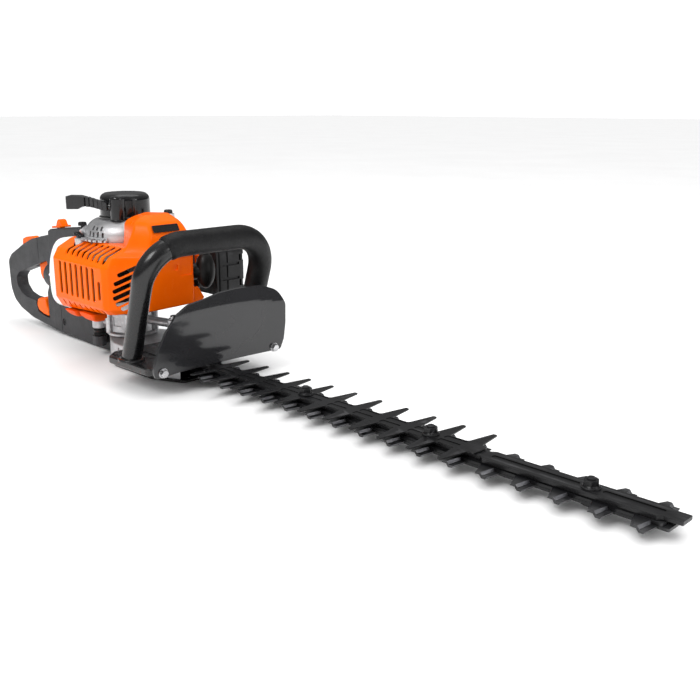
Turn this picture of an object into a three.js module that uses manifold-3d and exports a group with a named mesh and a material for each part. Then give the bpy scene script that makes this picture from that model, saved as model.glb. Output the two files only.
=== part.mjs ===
// Petrol hedge trimmer with a full-length comb plate, in millimetres.
// +X points along the blades, +Z up, and the crank axis stands on x = y = 0.
// The tool rests on the underside of its gear case at z = 0.
import * as THREE from "three";
import { mergeVertices } from "three/addons/utils/BufferGeometryUtils.js";
import Module from "manifold-3d";

const wasm = await Module();
wasm.setup();

// ---------------------------------------------------------------- driving dimensions
const GAP = 0.3; // clearance between pieces that touch
const DETAIL = 0.5; // share of the sides asked for that a round piece really gets
const PITCH = 35; // spacing of the cutting and comb teeth
const COMB_TIP_X = 530; // centre of the frontmost comb tooth
const COMB_TEETH = 11;
const COMB_HALF = 41; // reach of the comb teeth to each side
const COMB_Z = [19.0, 20.6];
const BAR_Z = [14.5, 18.7]; // guide bar
const BAR_HALF = 8;
const BAR_END_X = 729;
const UPPER_Z = [11.8, 14.2]; // the two cutting blades
const LOWER_Z = [9.1, 11.5];
const BLADE_HALF = 14;
const TOOTH_HALF = 28.7;
const BLADE_END_X = 716;
const CUTTER_TEETH = 16;
const STROKE = 8; // each blade moves this far to both sides
const BOLT_X = [322, 488, 650];
const SHAFT_R = 5;
const MOUNT = [-29, 30]; // x and reach in y of the rubber mounts
const GEAR_X = 45; // centre of the drive gear
const PINION_TEETH = 8;
const GEAR_TEETH = 36;
const MODULE = (2 * GEAR_X) / (PINION_TEETH + GEAR_TEETH);
const CYLINDER_Z = 105; // height of the cylinder's axis
const CRANK_THROW = 13;
const PIVOT_Z = 80; // swivel axis of the rear handle
const SWIVEL_X = -178; // plane between the frame and the swivelling handle
const HANDLE_HALF = 11.5;
const HOOP_LEAN = 0.312; // forward lean of the front handle, as x per unit along its leg
const TUBE_R = 11;
const PLATE_TOP = 34;
const COVER_SCREWS = [ // radius, angle and seat height of the starter cover's screws
  [54.5, -2.0, 152],
  [54.5, 2.2, 152],
];

// ---------------------------------------------------------------- materials
const COLOURS = {
  orange: ["#ff6a00", 0.35, 0],
  charcoal: ["#3d3d3f", 0.6, 0],
  gloss_black: ["#141416", 0.2, 0],
  rubber: ["#1b1b1c", 0.85, 0],
  silver: ["#c6c8ca", 0.38, 1],
  steel: ["#8d9094", 0.35, 1],
  black_steel: ["#1c1d1f", 0.4, 0.6],
  white_tank: ["#f0f0ea", 0.35, 0],
  foam: ["#202021", 0.95, 0],
  paper: ["#d8c9a0", 0.9, 0],
  guard_plastic: ["#3a3a3c", 0.25, 0],
};
const group = new THREE.Group();

function add(name, look, shape) {
  const [color, roughness, metalness] = COLOURS[look];
  const material = new THREE.MeshStandardMaterial({ color, roughness, metalness });
  const geometry = shape.isBufferGeometry ? shape : toGeometry(shape);
  const mesh = new THREE.Mesh(geometry, material);
  mesh.name = name;
  group.add(mesh);
}

// ---------------------------------------------------------------- solids and booleans
function toSolid(geometry) {
  const bare = geometry.clone();
  bare.deleteAttribute("normal");
  bare.deleteAttribute("uv");
  const merged = mergeVertices(bare, 1e-4);
  return new wasm.Manifold(
    new wasm.Mesh({
      numProp: 3,
      vertProperties: new Float32Array(merged.attributes.position.array),
      triVerts: new Uint32Array(merged.index.array),
    }),
  );
}

function toGeometry(solid) {
  const mesh = solid.getMesh();
  const geometry = new THREE.BufferGeometry();
  geometry.setAttribute("position", new THREE.BufferAttribute(mesh.vertProperties, 3));
  geometry.setIndex(new THREE.BufferAttribute(mesh.triVerts, 1));
  geometry.computeVertexNormals();
  return geometry;
}

const join = (...solids) => solids.reduce((a, b) => a.add(b));
const cut = (body, ...tools) => tools.reduce((a, b) => a.subtract(b), body);

// ---------------------------------------------------------------- outlines
/** A closed outline through the corner points, each corner rounded by up to r. */
function outline(points, r = 0) {
  const shape = new THREE.Shape();
  const n = points.length;
  points.forEach((p, i) => {
    const here = new THREE.Vector2(...p);
    const before = new THREE.Vector2(...points[(i + n - 1) % n]).sub(here);
    const after = new THREE.Vector2(...points[(i + 1) % n]).sub(here);
    const trim = Math.min(r, before.length() * 0.45, after.length() * 0.45);
    const start = here.clone().add(before.setLength(trim));
    const end = here.clone().add(after.setLength(trim));
    if (i === 0) shape.moveTo(start.x, start.y);
    else shape.lineTo(start.x, start.y);
    if (trim > 0) shape.quadraticCurveTo(here.x, here.y, end.x, end.y);
  });
  shape.closePath();
  return shape;
}

function circle(r, x = 0, y = 0) {
  return new THREE.Shape().absarc(x, y, r, 0, 2 * Math.PI, false);
}

const facets = (sides) => (sides < 8 ? sides : Math.max(8, Math.round(sides * DETAIL)));

const rect = (x0, x1, y0, y1) => [[x0, y0], [x1, y0], [x1, y1], [x0, y1]];

// ---------------------------------------------------------------- basic solids
function extrude(shape, depth, bevel = 0, curveSegments = 2) {
  return new THREE.ExtrudeGeometry(shape, {
    depth: depth - 2 * bevel,
    curveSegments,
    bevelEnabled: bevel > 0,
    bevelThickness: bevel,
    bevelSize: bevel,
    bevelOffset: -bevel,
    bevelSegments: 1,
  }).translate(0, 0, bevel);
}

/** An outline in X and Y, between two heights. */
function slab(shape, z0, z1, bevel = 0, segments = 2) {
  return toSolid(extrude(shape, z1 - z0, bevel, segments).translate(0, 0, z0));
}

/** An outline in X and Z, between two values of Y. */
function sideSlab(shape, y0, y1, bevel = 0, segments = 2) {
  const geometry = extrude(shape, y1 - y0, bevel, segments).rotateX(Math.PI / 2);
  return toSolid(geometry.translate(0, y1, 0));
}

/** An outline in Y and Z, between two values of X. */
function frontSlab(shape, x0, x1, bevel = 0, segments = 2) {
  const geometry = extrude(shape, x1 - x0, bevel, segments);
  geometry.rotateX(Math.PI / 2).rotateZ(Math.PI / 2);
  return toSolid(geometry.translate(x0, 0, 0));
}

function box(x0, x1, y0, y1, z0, z1) {
  const geometry = new THREE.BoxGeometry(x1 - x0, y1 - y0, z1 - z0);
  return toSolid(geometry.translate((x0 + x1) / 2, (y0 + y1) / 2, (z0 + z1) / 2));
}

/** An upright cylinder or cone between two heights. */
function post(r, z0, z1, x = 0, y = 0, sides = 28, topR = r) {
  const geometry = new THREE.CylinderGeometry(topR, r, z1 - z0, facets(sides)).rotateX(Math.PI / 2);
  return toSolid(geometry.translate(x, y, (z0 + z1) / 2));
}

/** A cylinder between two points. */
function rod(r, from, to, sides = 20) {
  const a = new THREE.Vector3(...from);
  const b = new THREE.Vector3(...to);
  const way = b.clone().sub(a);
  const geometry = new THREE.CylinderGeometry(r, r, way.length(), facets(sides));
  const up = new THREE.Vector3(0, 1, 0);
  geometry.applyQuaternion(new THREE.Quaternion().setFromUnitVectors(up, way.normalize()));
  const middle = a.add(b).multiplyScalar(0.5);
  return toSolid(geometry.translate(middle.x, middle.y, middle.z));
}

/** A turned solid about Z from [radius, height] points. */
function turned(points, sides = 36) {
  const profile = points.map(([r, z]) => new THREE.Vector2(r, z));
  if (points[0][0] > 0) profile.push(profile[0].clone());
  return toSolid(new THREE.LatheGeometry(profile, facets(sides)).rotateX(Math.PI / 2));
}

/** A round bar, or a sleeve when innerR is given, along a smooth curve through points. */
function swept(points, r, steps, innerR = 0, sides = 4) {
  const shape = circle(r);
  if (innerR > 0) shape.holes.push(new THREE.Path().absarc(0, 0, innerR, 0, 2 * Math.PI, true));
  const places = points.map((p) => new THREE.Vector3(...p));
  const curve = new THREE.CatmullRomCurve3(places, false, "centripetal");
  const options = { steps, extrudePath: curve, curveSegments: sides, bevelEnabled: false };
  return toSolid(new THREE.ExtrudeGeometry(shape, options));
}

/** A body through matching outlines at rising heights; a point may add its own rise. */
function loft(levels) {
  const n = levels[0].points.length;
  const position = levels.flatMap(({ z, points }) => {
    return points.flatMap(([x, y, rise = 0]) => [x, y, z + rise]);
  });
  const index = [];
  for (let level = 0; level < levels.length - 1; level += 1) {
    for (let i = 0; i < n; i += 1) {
      const a = level * n + i;
      const b = level * n + ((i + 1) % n);
      index.push(a, b, b + n, a, b + n, a + n);
    }
  }
  const top = (levels.length - 1) * n;
  const flat = (level) => level.points.map((p) => new THREE.Vector2(...p));
  for (const [a, b, c] of THREE.ShapeUtils.triangulateShape(flat(levels[0]), [])) {
    index.push(a, c, b);
  }
  for (const [a, b, c] of THREE.ShapeUtils.triangulateShape(flat(levels.at(-1)), [])) {
    index.push(top + a, top + b, top + c);
  }
  const geometry = new THREE.BufferGeometry();
  geometry.setAttribute("position", new THREE.Float32BufferAttribute(position, 3));
  geometry.setIndex(index);
  return toSolid(geometry);
}

// ---------------------------------------------------------------- cutting blades and comb
/** Points of a toothed strip: teeth pairs centred on `centres`, from the tail to the nose. */
function toothedStrip(tail, nose, half, tip, centres, rootWidth, tipWidth, lean = 0) {
  const right = [[tail, -half]];
  for (const x of centres) {
    right.push([x - rootWidth / 2, -half], [x - tipWidth / 2 + lean, -tip]);
    right.push([x + tipWidth / 2 + lean, -tip], [x + rootWidth / 2, -half]);
  }
  right.push([nose, -half]);
  const left = right.map(([x, y]) => [x, -y]).reverse();
  return [...right, ...left];
}

function teethFrom(first, count) {
  return Array.from({ length: count }, (_, i) => first + i * PITCH);
}

function combPlate() {
  const centres = teethFrom(COMB_TIP_X - (COMB_TEETH - 1) * PITCH, COMB_TEETH);
  const plan = toothedStrip(100, COMB_TIP_X + 14, 10, COMB_HALF, centres, 15, 4.5);
  const holes = BOLT_X.slice(0, 2).map((x) => post(4.4, 18, 22, x));
  return cut(slab(outline(plan), ...COMB_Z), ...holes);
}

function guideBar() {
  const plan = rect(96, BAR_END_X, -BAR_HALF, BAR_HALF);
  const thinTip = box(713, 731, -9, 9, BAR_Z[0] - 1, BAR_Z[0] + 0.8);
  const holes = BOLT_X.map((x) => post(4.4, 14, 20, x));
  return cut(slab(outline(plan, 1), ...BAR_Z), thinTip, ...holes);
}

/** One cutting blade with its yoke, whose window gives the eccentric room at any stroke. */
function cuttingBlade([z0, z1], shift) {
  const first = 700 + 4 - (CUTTER_TEETH - 1) * PITCH + shift - STROKE / 2;
  const centres = teethFrom(first, CUTTER_TEETH);
  const nose = BLADE_END_X + shift;
  const plan = toothedStrip(70 + shift, nose, BLADE_HALF, TOOTH_HALF, centres, 17, 9, 2);
  const strip = slab(outline(plan), z0, z1);
  const yoke = slab(outline(rect(13, 78, -25, 25), 5), z0, z1);
  const yokeWindow = box(18.5, 71.5, -19, 19, z0 - 1, z1 + 1);
  const slots = BOLT_X.map((x) => {
    const slot = rect(x - STROKE - 5, x + STROKE + 5, -4.6, 4.6);
    return slab(outline(slot, 3), z0 - 1, z1 + 1, 0, 1);
  });
  return cut(join(strip, yoke), yokeWindow, ...slots);
}

function bladeBolt(x, seat) {
  const washer = post(8, seat, seat + 1.4, x, 0, 20);
  const nut = post(6.8, seat + 1.3, seat + 7, x, 0, 6);
  const stub = post(3.8, 4.6, seat + 8.6, x, 0, 16);
  const head = post(7.6, 4.4, LOWER_Z[0] - GAP, x, 0, 20);
  return join(washer, nut, stub, head);
}

// ---------------------------------------------------------------- gear case and drive
const CASE_PLAN = [
  [-12, -26], [14, -40], [30, -45], [106, -45], [147, -28], [147, 28],
  [106, 45], [30, 45], [14, 40], [-12, 26], [-28, 14], [-28, -14],
];
const CASE_ROOF = 29.7;

function gearCase() {
  const shell = slab(outline(CASE_PLAN, 8), 3 + GAP, CASE_ROOF, 1.5);
  const gearRoom = post(41, 3, 21.5, GEAR_X, 0, 48);
  const pinionRoom = post(13, 3, 21.5);
  const yokeRoom = box(2, 92, -27, 27, 3, 21.5);
  const mouth = box(80, 160, -29.5, 29.5, 3, 21.2);
  const shaftHole = post(6.5, 20, 31);
  const bearing = post(6.4, 20, 26, GEAR_X);
  return cut(shell, gearRoom, pinionRoom, yokeRoom, mouth, shaftHole, bearing);
}

function gearCaseBottom() {
  const plate = slab(outline(CASE_PLAN, 8), 0, 3, 0.8);
  const boss = cut(post(10, 2.5, 7.5, GEAR_X), post(6.4, 3.2, 8, GEAR_X));
  return join(plate, boss);
}

/** A spur gear outline with straight-sided teeth; turn is the angle of its first tooth. */
function gearOutline(teeth, turn) {
  const pitchR = (teeth * MODULE) / 2;
  const step = (2 * Math.PI) / teeth;
  const corners = [[-0.25, -1.1], [-0.12, 0.75], [0.12, 0.75], [0.25, -1.1]];
  const points = [];
  for (let i = 0; i < teeth; i += 1) {
    for (const [along, out] of corners) {
      const angle = turn + (i + along) * step;
      const r = pitchR + out * MODULE;
      points.push([r * Math.cos(angle), r * Math.sin(angle)]);
    }
  }
  return outline(points);
}

function driveGear() {
  const wheel = slab(gearOutline(GEAR_TEETH, Math.PI), 15.2, 20.2).translate([GEAR_X, 0, 0]);
  const shaft = post(6, 3.6, 25.6, GEAR_X);
  const upper = post(10, UPPER_Z[0] - 0.1, 15.3, GEAR_X, STROKE);
  const lower = post(10, LOWER_Z[0] - 0.4, UPPER_Z[0], GEAR_X, -STROKE);
  return join(wheel, shaft, upper, lower);
}

function clutchDrum() {
  const pinion = slab(gearOutline(PINION_TEETH, Math.PI / PINION_TEETH), 14.9, 20.5);
  const stub = post(5.6, 20.4, 38.5);
  const cup = turned([[0, 38], [23, 38], [23, 54], [21.2, 54], [21.2, 40], [0, 40]]);
  return join(pinion, stub, cup);
}

function clutchRotor() {
  const hub = post(9, 42, 52);
  const shoe = (start) => {
    const shape = new THREE.Shape().absarc(0, 0, 19.6, start, start + 2.5, false);
    shape.absarc(0, 0, 13.5, start + 2.5, start, true);
    return slab(shape, 42, 52, 0, 4);
  };
  const arm = (angle) => {
    const tip = [16 * Math.cos(angle), 16 * Math.sin(angle), 47];
    return rod(2.6, [0, 0, 47], tip, 10);
  };
  const body = join(hub, shoe(0.3), shoe(0.3 + Math.PI), arm(1.55), arm(1.55 + Math.PI));
  return cut(body, post(SHAFT_R + GAP, 41, 53));
}

function clutchHousing() {
  const shell = turned([
    [7, 30], [31, 30], [31, 34], [28, 36], [28, 58], [31, 60],
    [31, 62], [25, 62], [25, 34], [7, 34],
  ]);
  const lug = (side) => {
    const [x, y] = [MOUNT[0], side * MOUNT[1]];
    return join(post(8, 36.3, 52, x, y), rod(4, [-18, side * 19, 44], [x, y, 44], 10));
  };
  const arm = rod(5, [26, 4, 50], [66, 14, 50], 12);
  const foot = join(arm, post(8, 40, 56, 70, 15), rod(5, [70, 15, 44], [104, 22, 42], 12));
  const [mountX, mountY] = MOUNT;
  const holes = post(2.6, 36, 53, mountX, -mountY).add(post(2.6, 36, 53, mountX, mountY));
  const inside = post(25, 34.2, 61);
  return cut(join(shell, cut(join(lug(-1), lug(1), foot), inside)), holes);
}

function rubberMount(side) {
  const [x, y] = [MOUNT[0], side * MOUNT[1]];
  return join(post(7, 26.3, 36, x, y), post(2.3, 35, 46, x, y, 12));
}

// ---------------------------------------------------------------- base plate and guard
function basePlate() {
  const plan = [[78, -74], [92, -90], [168, -90], [176, -80], [176, 80], [168, 90], [92, 90],
    [78, 74]];
  const inner = [[80, -73], [93, -88], [167, -88], [174, -79], [174, 79], [167, 88], [93, 88],
    [80, 73]];
  const tray = slab(outline(plan, 8), 25.5, PLATE_TOP, 1);
  const hollow = slab(outline(inner, 7), 24, PLATE_TOP - 2.2);
  const caseRoom = slab(outline(rect(60, 150, -46.5, 46.5), 4), 20, 30);
  const mouth = box(140, 180, -46, 46, 20, 30);
  const handleBolts = [-81, 81].map((y) => post(4.2, 20, 40, 126, y, 16));
  const guardBolts = [-78, 78].map((y) => leaned(rod(4, [-5, y, 31], [2, y, 31], 16)));
  return cut(tray, hollow, caseRoom, mouth, ...handleBolts, ...guardBolts);
}

const GUARD_LEAN = 0.14; // radians, forward
const GUARD_BACK_X = 176.4; // rear of the guard where it meets the base plate

/** Leans a piece drawn with the guard's rear face at x = 0 and sets it in place. */
function leaned(solid) {
  const shift = GUARD_BACK_X - 25 * Math.sin(GUARD_LEAN);
  return toSolid(toGeometry(solid).rotateY(GUARD_LEAN).translate(shift, 0, 0));
}

function bladeGuard() {
  const right = [[-50, 27], [-89, 25], [-91, 34], [-83, 60], [-70, 84], [-52, 97], [-24, 104]];
  const left = [[24, 109], [60, 108.5], [80, 101], [90, 86], [92, 60], [91, 30], [86, 26], [50, 27]];
  const sheet = frontSlab(outline([...right, ...left], 4), 0, 3, 0.6, 2);
  const holes = [-78, 78].map((y) => rod(3.4, [-2, y, 31], [5, y, 31], 16));
  return leaned(cut(sheet, ...holes));
}

function guardBolt(side) {
  const y = side * 78;
  const washer = rod(5.6, [3.3, y, 31], [4.3, y, 31], 20);
  const head = rod(4.6, [4.2, y, 31], [7.6, y, 31], 6);
  return leaned(join(washer, head, rod(3, [-2.4, y, 31], [5, y, 31], 14)));
}

// ---------------------------------------------------------------- front handle
/** Centre line of the hoop from one foot over the top, between two stations along it. */
function hoopPoints(from, to) {
  const HALF = 81;
  const HEIGHT = 136;
  const BEND = 44;
  const leg = HEIGHT - BEND;
  const arc = (BEND * Math.PI) / 2;
  const half = leg + arc + HALF - BEND;
  const at = (s) => {
    const side = s < half ? -1 : 1;
    const d = s < half ? s : 2 * half - s;
    let y = HALF;
    let up = d;
    if (d > leg) {
      const turn = Math.min((d - leg) / BEND, Math.PI / 2);
      y = HALF - BEND + BEND * Math.cos(turn) - Math.max(d - leg - arc, 0);
      up = leg + BEND * Math.sin(turn);
    }
    return [126 + HOOP_LEAN * up, side * y, PLATE_TOP + GAP + 0.95 * up];
  };
  const count = 40;
  const start = from * 2 * half;
  const end = to * 2 * half;
  return Array.from({ length: count + 1 }, (_, i) => at(start + ((end - start) * i) / count));
}

function frontHandle() {
  const tube = swept(hoopPoints(0.012, 0.988), TUBE_R, 22, 0, 5);
  const foot = (side) => {
    const flange = post(15, PLATE_TOP + GAP, PLATE_TOP + 3, 126, side * 81, 24);
    return join(flange, post(3.6, 27, PLATE_TOP + 1, 126, side * 81, 16));
  };
  return join(tube, foot(-1), foot(1));
}

function frontGrip() {
  return swept(hoopPoints(0.355, 0.88), TUBE_R + 2.8, 16, TUBE_R + 1.1, 5);
}

// ---------------------------------------------------------------- engine
const PLUG_FROM = [72.5, 13, 111];
const PLUG_TO = [92, 38, 115];

function along(from, to, t) {
  return from.map((v, i) => v + (to[i] - v) * t);
}

function crankcase() {
  const barrel = post(30, 62.3, 125);
  const neck = box(10, 31.5, -24, 24, 82, 128 - 4);
  const cornerPost = post(6, 62.3, 125, -26, -22, 16).add(post(6, 62.3, 125, -26, 22, 16));
  const chamber = post(24, 89, 121);
  const shaft = post(SHAFT_R + 0.5, 60, 130);
  const mouth = rod(18.2, [0, 0, CYLINDER_Z], [40, 0, CYLINDER_Z], 28);
  const intake = box(-8, 8, 22, 40, 98, 112);
  return cut(join(barrel, neck, cornerPost), chamber, shaft, mouth, intake);
}

function cylinder() {
  const axis = (x) => [x, 0, CYLINDER_Z];
  const barrel = rod(21.5, axis(32), axis(81), 30);
  const flange = box(32, 36, -24, 24, 83, 127);
  const fins = Array.from({ length: 4 }, (_, i) => {
    const x = 43 + 11 * i;
    const plan = rect(-24.5, 24.5, 82, 127);
    return frontSlab(outline(plan, 7), x, x + 2, 0, 1);
  });
  const exhaust = box(50, 66, -33.5, -16, 97, 113);
  const intake = box(44, 60, 16, 31.5, 96, 114);
  const bore = rod(17.5, axis(30), axis(71), 32);
  const plug = rod(5.6, along(PLUG_FROM, PLUG_TO, -0.2), PLUG_TO, 16);
  const seat = rod(9.6, along(PLUG_FROM, PLUG_TO, 0.3), along(PLUG_FROM, PLUG_TO, 1.6), 20);
  const ports = [
    rod(5, [58, -40, CYLINDER_Z], [58, -10, CYLINDER_Z], 14),
    rod(6, [52, 10, CYLINDER_Z], [52, 40, CYLINDER_Z], 14),
  ];
  return cut(join(barrel, flange, ...fins, exhaust, intake), bore, plug, seat, ...ports);
}

function piston() {
  const body = rod(17.1, [48.2, 0, CYLINDER_Z], [67, 0, CYLINDER_Z], 32);
  const hollow = rod(14.5, [40, 0, CYLINDER_Z], [62, 0, CYLINDER_Z], 28);
  const pin = rod(4, [53, 0, CYLINDER_Z - 15.2], [53, 0, CYLINDER_Z + 15.2], 16);
  return join(cut(body, hollow), pin);
}

/** Connecting rod with the crank pin pressed into its big end. */
function connectingRod() {
  const z = CYLINDER_Z;
  const big = post(9, z - 4, z + 4, CRANK_THROW, 0, 24);
  const small = post(7, z - 4, z + 4, 53, 0, 24);
  const beam = box(CRANK_THROW + 6, 48, -3.5, 3.5, z - 2.5, z + 2.5);
  const pin = post(5, z - 6.5, z + 6.5, CRANK_THROW, 0, 20);
  return cut(join(big, small, beam, pin), post(4.4, z - 6, z + 6, 53));
}

/** One half of the pressed-up crankshaft: a round web with its journal. */
function crankHalf(side, end) {
  const near = CYLINDER_Z + side * 6.8;
  const far = CYLINDER_Z + side * 13;
  const web = post(21.6, Math.min(near, far), Math.max(near, far), 0, 0, 36);
  const pocket = post(4, near - 2, near + 2, -14, 0, 16);
  return join(cut(web, pocket), post(SHAFT_R, Math.min(near + side, end), Math.max(near + side, end)));
}

function flywheel() {
  const rim = turned([[0, 130], [38, 130], [38, 134], [14, 135], [11, 146], [0, 146]], 40);
  const blades = Array.from({ length: 12 }, (_, i) => {
    const angle = (i * Math.PI) / 6;
    const c = Math.cos(angle);
    const s = Math.sin(angle);
    const a = [[15, -1], [36, -4], [37, -1.5], [16, 1.5]];
    return slab(outline(a.map(([x, y]) => [x * c - y * s, x * s + y * c])), 133.5, 143.5);
  });
  return cut(join(rim, ...blades), post(SHAFT_R + GAP, 128, 148));
}

function starterCover() {
  const shell = turned([
    [46.5, 128], [49, 128], [49, 158], [46.5, 166], [41, 172], [35, 174.4],
    [12, 174.4], [12, 171.6], [34, 171.6], [39, 169.6], [44, 164.6], [46.5, 157],
  ], 44);
  const ear = ([r, angle, top]) => {
    const x = r * Math.cos(angle);
    const y = r * Math.sin(angle);
    return cut(post(7.5, top - 14, top, x, y, 18), post(46.5, 120, 157, 0, 0, 44));
  };
  const ears = COVER_SCREWS.map(ear);
  const lug = join(post(7.5, 150, 183, 47, 30, 18), rod(6, [40, 25.5, 162], [47, 30, 162], 12));
  const drill = COVER_SCREWS.map(([r, angle, top]) => {
    return post(2.6, top - 9, top + 1, r * Math.cos(angle), r * Math.sin(angle), 12);
  });
  const vents = Array.from({ length: 3 }, (_, i) => {
    const angle = -2.3 + i * 0.25;
    const from = [40 * Math.cos(angle), 40 * Math.sin(angle), 160];
    return rod(2.6, from, along([0, 0, 160], from, 1.4), 10);
  });
  const leadHole = rod(4.5, [28, 33, 146], [44, 50, 146], 12);
  return cut(join(shell, ...ears, lug), ...drill, ...vents, leadHole);
}

function coverScrew([r, angle, top]) {
  const x = r * Math.cos(angle);
  const y = r * Math.sin(angle);
  return join(post(4.4, top + GAP, top + 4, x, y, 16), post(2.2, top - 8, top + 1, x, y, 10));
}

const BOSS = [21, -23]; // rope guide beside the recoil cover
const ROPE_WAY = [-0.75, -0.661];
const ROPE_RISE = 0.12; // climb of the rope per unit along its way
const ropeAt = (s) => [BOSS[0] + ROPE_WAY[0] * s, BOSS[1] + ROPE_WAY[1] * s, 189.5 + ROPE_RISE * s];

function recoilCover() {
  const cup = turned([
    [26.5, 174.8], [31.5, 174.8], [31.5, 177], [29.8, 178], [29.8, 199], [27.5, 203.4],
    [23, 205], [0, 205], [0, 202.4], [22, 202.4], [26.5, 198],
  ], 40);
  const boss = post(9, 174.8, 203, ...BOSS, 24);
  const room = post(26.5, 170, 198, 0, 0, 40);
  const ropeHole = rod(3, ropeAt(-14), ropeAt(16), 14);
  return cut(join(cup, cut(boss, room)), ropeHole);
}

function starterPulley() {
  const drum = turned([
    [0, 176.5], [24, 176.5], [24, 178.2], [19, 179], [19, 185], [24, 185.8], [24, 187.5], [0, 187.5],
  ], 32);
  return cut(drum, post(SHAFT_R + GAP, 170, 190));
}

function recoilSpring() {
  const turns = 3;
  const points = Array.from({ length: turns * 12 + 1 }, (_, i) => {
    const angle = (i / 12) * 2 * Math.PI;
    const r = 9 + (11 * i) / (turns * 12);
    return [r * Math.cos(angle), r * Math.sin(angle)];
  });
  const outer = points.map(([x, y]) => [x * (1 + 0.5 / Math.hypot(x, y)), y * (1 + 0.5 / Math.hypot(x, y))]);
  return slab(outline([...points, ...outer.reverse()]), 189, 197);
}

function starterGrip() {
  const side = [[12, 185], [30, 190], [40, 191], [45, 188], [60, 188], [60, 203.5], [45, 203.5],
    [34, 201.5], [12, 195]];
  const half = [[12, -3.5], [21, -4], [34, -6], [43, -8], [60, -8]];
  const plan = [...half, ...half.map(([s, y]) => [s, -y]).reverse()];
  const body = sideSlab(outline(side, 3), -9, 9).intersect(slab(outline(plan, 2), 170, 210));
  const turn = Math.atan2(ROPE_WAY[1], ROPE_WAY[0]);
  const hollow = box(52, 75, -5.5, 5.5, 190.5, 201);
  const ropeHole = rod(2.4, [5, 0, 189.5 + ROPE_RISE * 5], [51, 0, 189.5 + ROPE_RISE * 51], 12);
  const whole = toGeometry(cut(body, hollow, ropeHole));
  return toSolid(whole.rotateZ(turn).translate(BOSS[0], BOSS[1], 0));
}

function starterRope() {
  return rod(1.5, ropeAt(-1), ropeAt(49), 10);
}

function ignitionCoil() {
  const leg = slab(outline(rect(-5, 5, 40.5, 45.5), 1), 129, 143);
  const core = slab(outline(rect(-9, 9, 39, 45), 2), 131, 141);
  const whole = toGeometry(join(leg, core)).rotateZ(-0.72);
  return toSolid(whole);
}

// ---------------------------------------------------------------- engine cover and muffler
function coverBody(inset) {
  const t = inset;
  const open = inset > 0 ? 9 : 0; // the inside runs out through the engine's side
  const level = (z, out, climb = 0) => ({
    z,
    points: [
      [-56 + t, -62 + t + out * 0.8], [-51 + t, -73.5 + t + out], [64, -76 + t + out, climb * 6.5],
      [72 - t * 0.6, -72 + t + out * 0.8, climb * 7.5],
      [101 - t, -38 + t * 0.6 + out * 0.2, climb * 11.5], [101 - t, 24, climb * 13],
      [97 - t * 0.6, 28 - t, climb * 13], [66 - open, 28 - t, climb * 11],
      [66 - open, -18 + open, climb * 7], [-56 + t, -18 + open],
    ],
  });
  const bottom = inset > 0 ? level(63, 10, 1) : level(66, 8, 1);
  return loft([bottom, level(80, 0), level(128, 0), level(140, 7), level(150 - t, 27)]);
}

/** An outline drawn in by t on every side. */
function shrunk(points, t) {
  const edge = ([ax, ay], [bx, by]) => {
    const length = Math.hypot(bx - ax, by - ay);
    return [(ay - by) / length, (bx - ax) / length];
  };
  return points.map((p, i) => {
    const [a, b] = edge(points.at(i - 1), p);
    const [c, d] = edge(p, points[(i + 1) % points.length]);
    const share = t / (1 + a * c + b * d);
    return [p[0] + (a + c) * share, p[1] + (b + d) * share];
  });
}

const HUMP = [ // height and outline of each step, from the rear right corner round by the front
  [126, [[40, -40], [48, -62], [73, -68], [100.6, -38], [100.6, 23], [96, 27.5], [66, 27.5], [62, 23]]],
  [140, [[39, -33], [45, -42], [76, -60], [100, -36], [100.4, 22], [95.5, 27], [64, 27], [60, 23]]],
  [152, [[38, -28], [44, -32], [78, -50], [99.6, -33], [100, 20], [95, 25.5], [62.5, 26.5], [58.5, 22]]],
  [165, [[37.5, -26.5], [43, -29.5], [80, -43], [98.6, -31], [99, 18], [94, 23], [62.5, 24.5], [58.5, 19]]],
  [175, [[38, -25], [44, -28], [80, -39], [93, -28], [93.5, 15], [89.5, 18.5], [63, 21], [59, 16]]],
  [181, [[43, -16], [50, -22], [79.5, -34], [87, -23], [87.5, 10], [84, 13.5], [65.5, 17], [61.5, 12]]],
  [185.5, [[52, -4], [57, -12], [78, -25], [82, -15], [82, 5], [80, 8], [69, 10], [66, 6]]],
];

function coverHump(inset) {
  return loft(HUMP.map(([z, points]) => ({ z: z - inset, points: shrunk(points, inset) })));
}

function coverSlots() {
  const columns = Array.from({ length: 8 }, (_, i) => -34 + 13 * i);
  const side = columns.map((x, i) => box(x - 2, x + 2, -90, -66, 87, i < 7 ? 125 : 112));
  const top = columns.map((x) => {
    const reach = 4 + 0.1 * (x + 34);
    return rod(1.9, [x + 4, -74, 137], [x + 4 + reach, -54, 147.5], 8);
  });
  const low = columns.map((x) => box(x - 1.8, x + 1.8, -79, -60, 72, 78.5));
  const facing = Math.atan2(72 - 38, 101 - 72); // direction of the slanted corner face
  const diagonal = [13, 18, 20, 20, 17, 11].map((reach, i) => {
    const bar = new THREE.BoxGeometry(2 * reach, 22, 3.8).rotateY(-0.42).rotateZ(facing);
    return toSolid(bar.translate(86.5, -55, 125 - 8 * i));
  });
  return [...side, ...top, ...low, ...diagonal];
}

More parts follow.
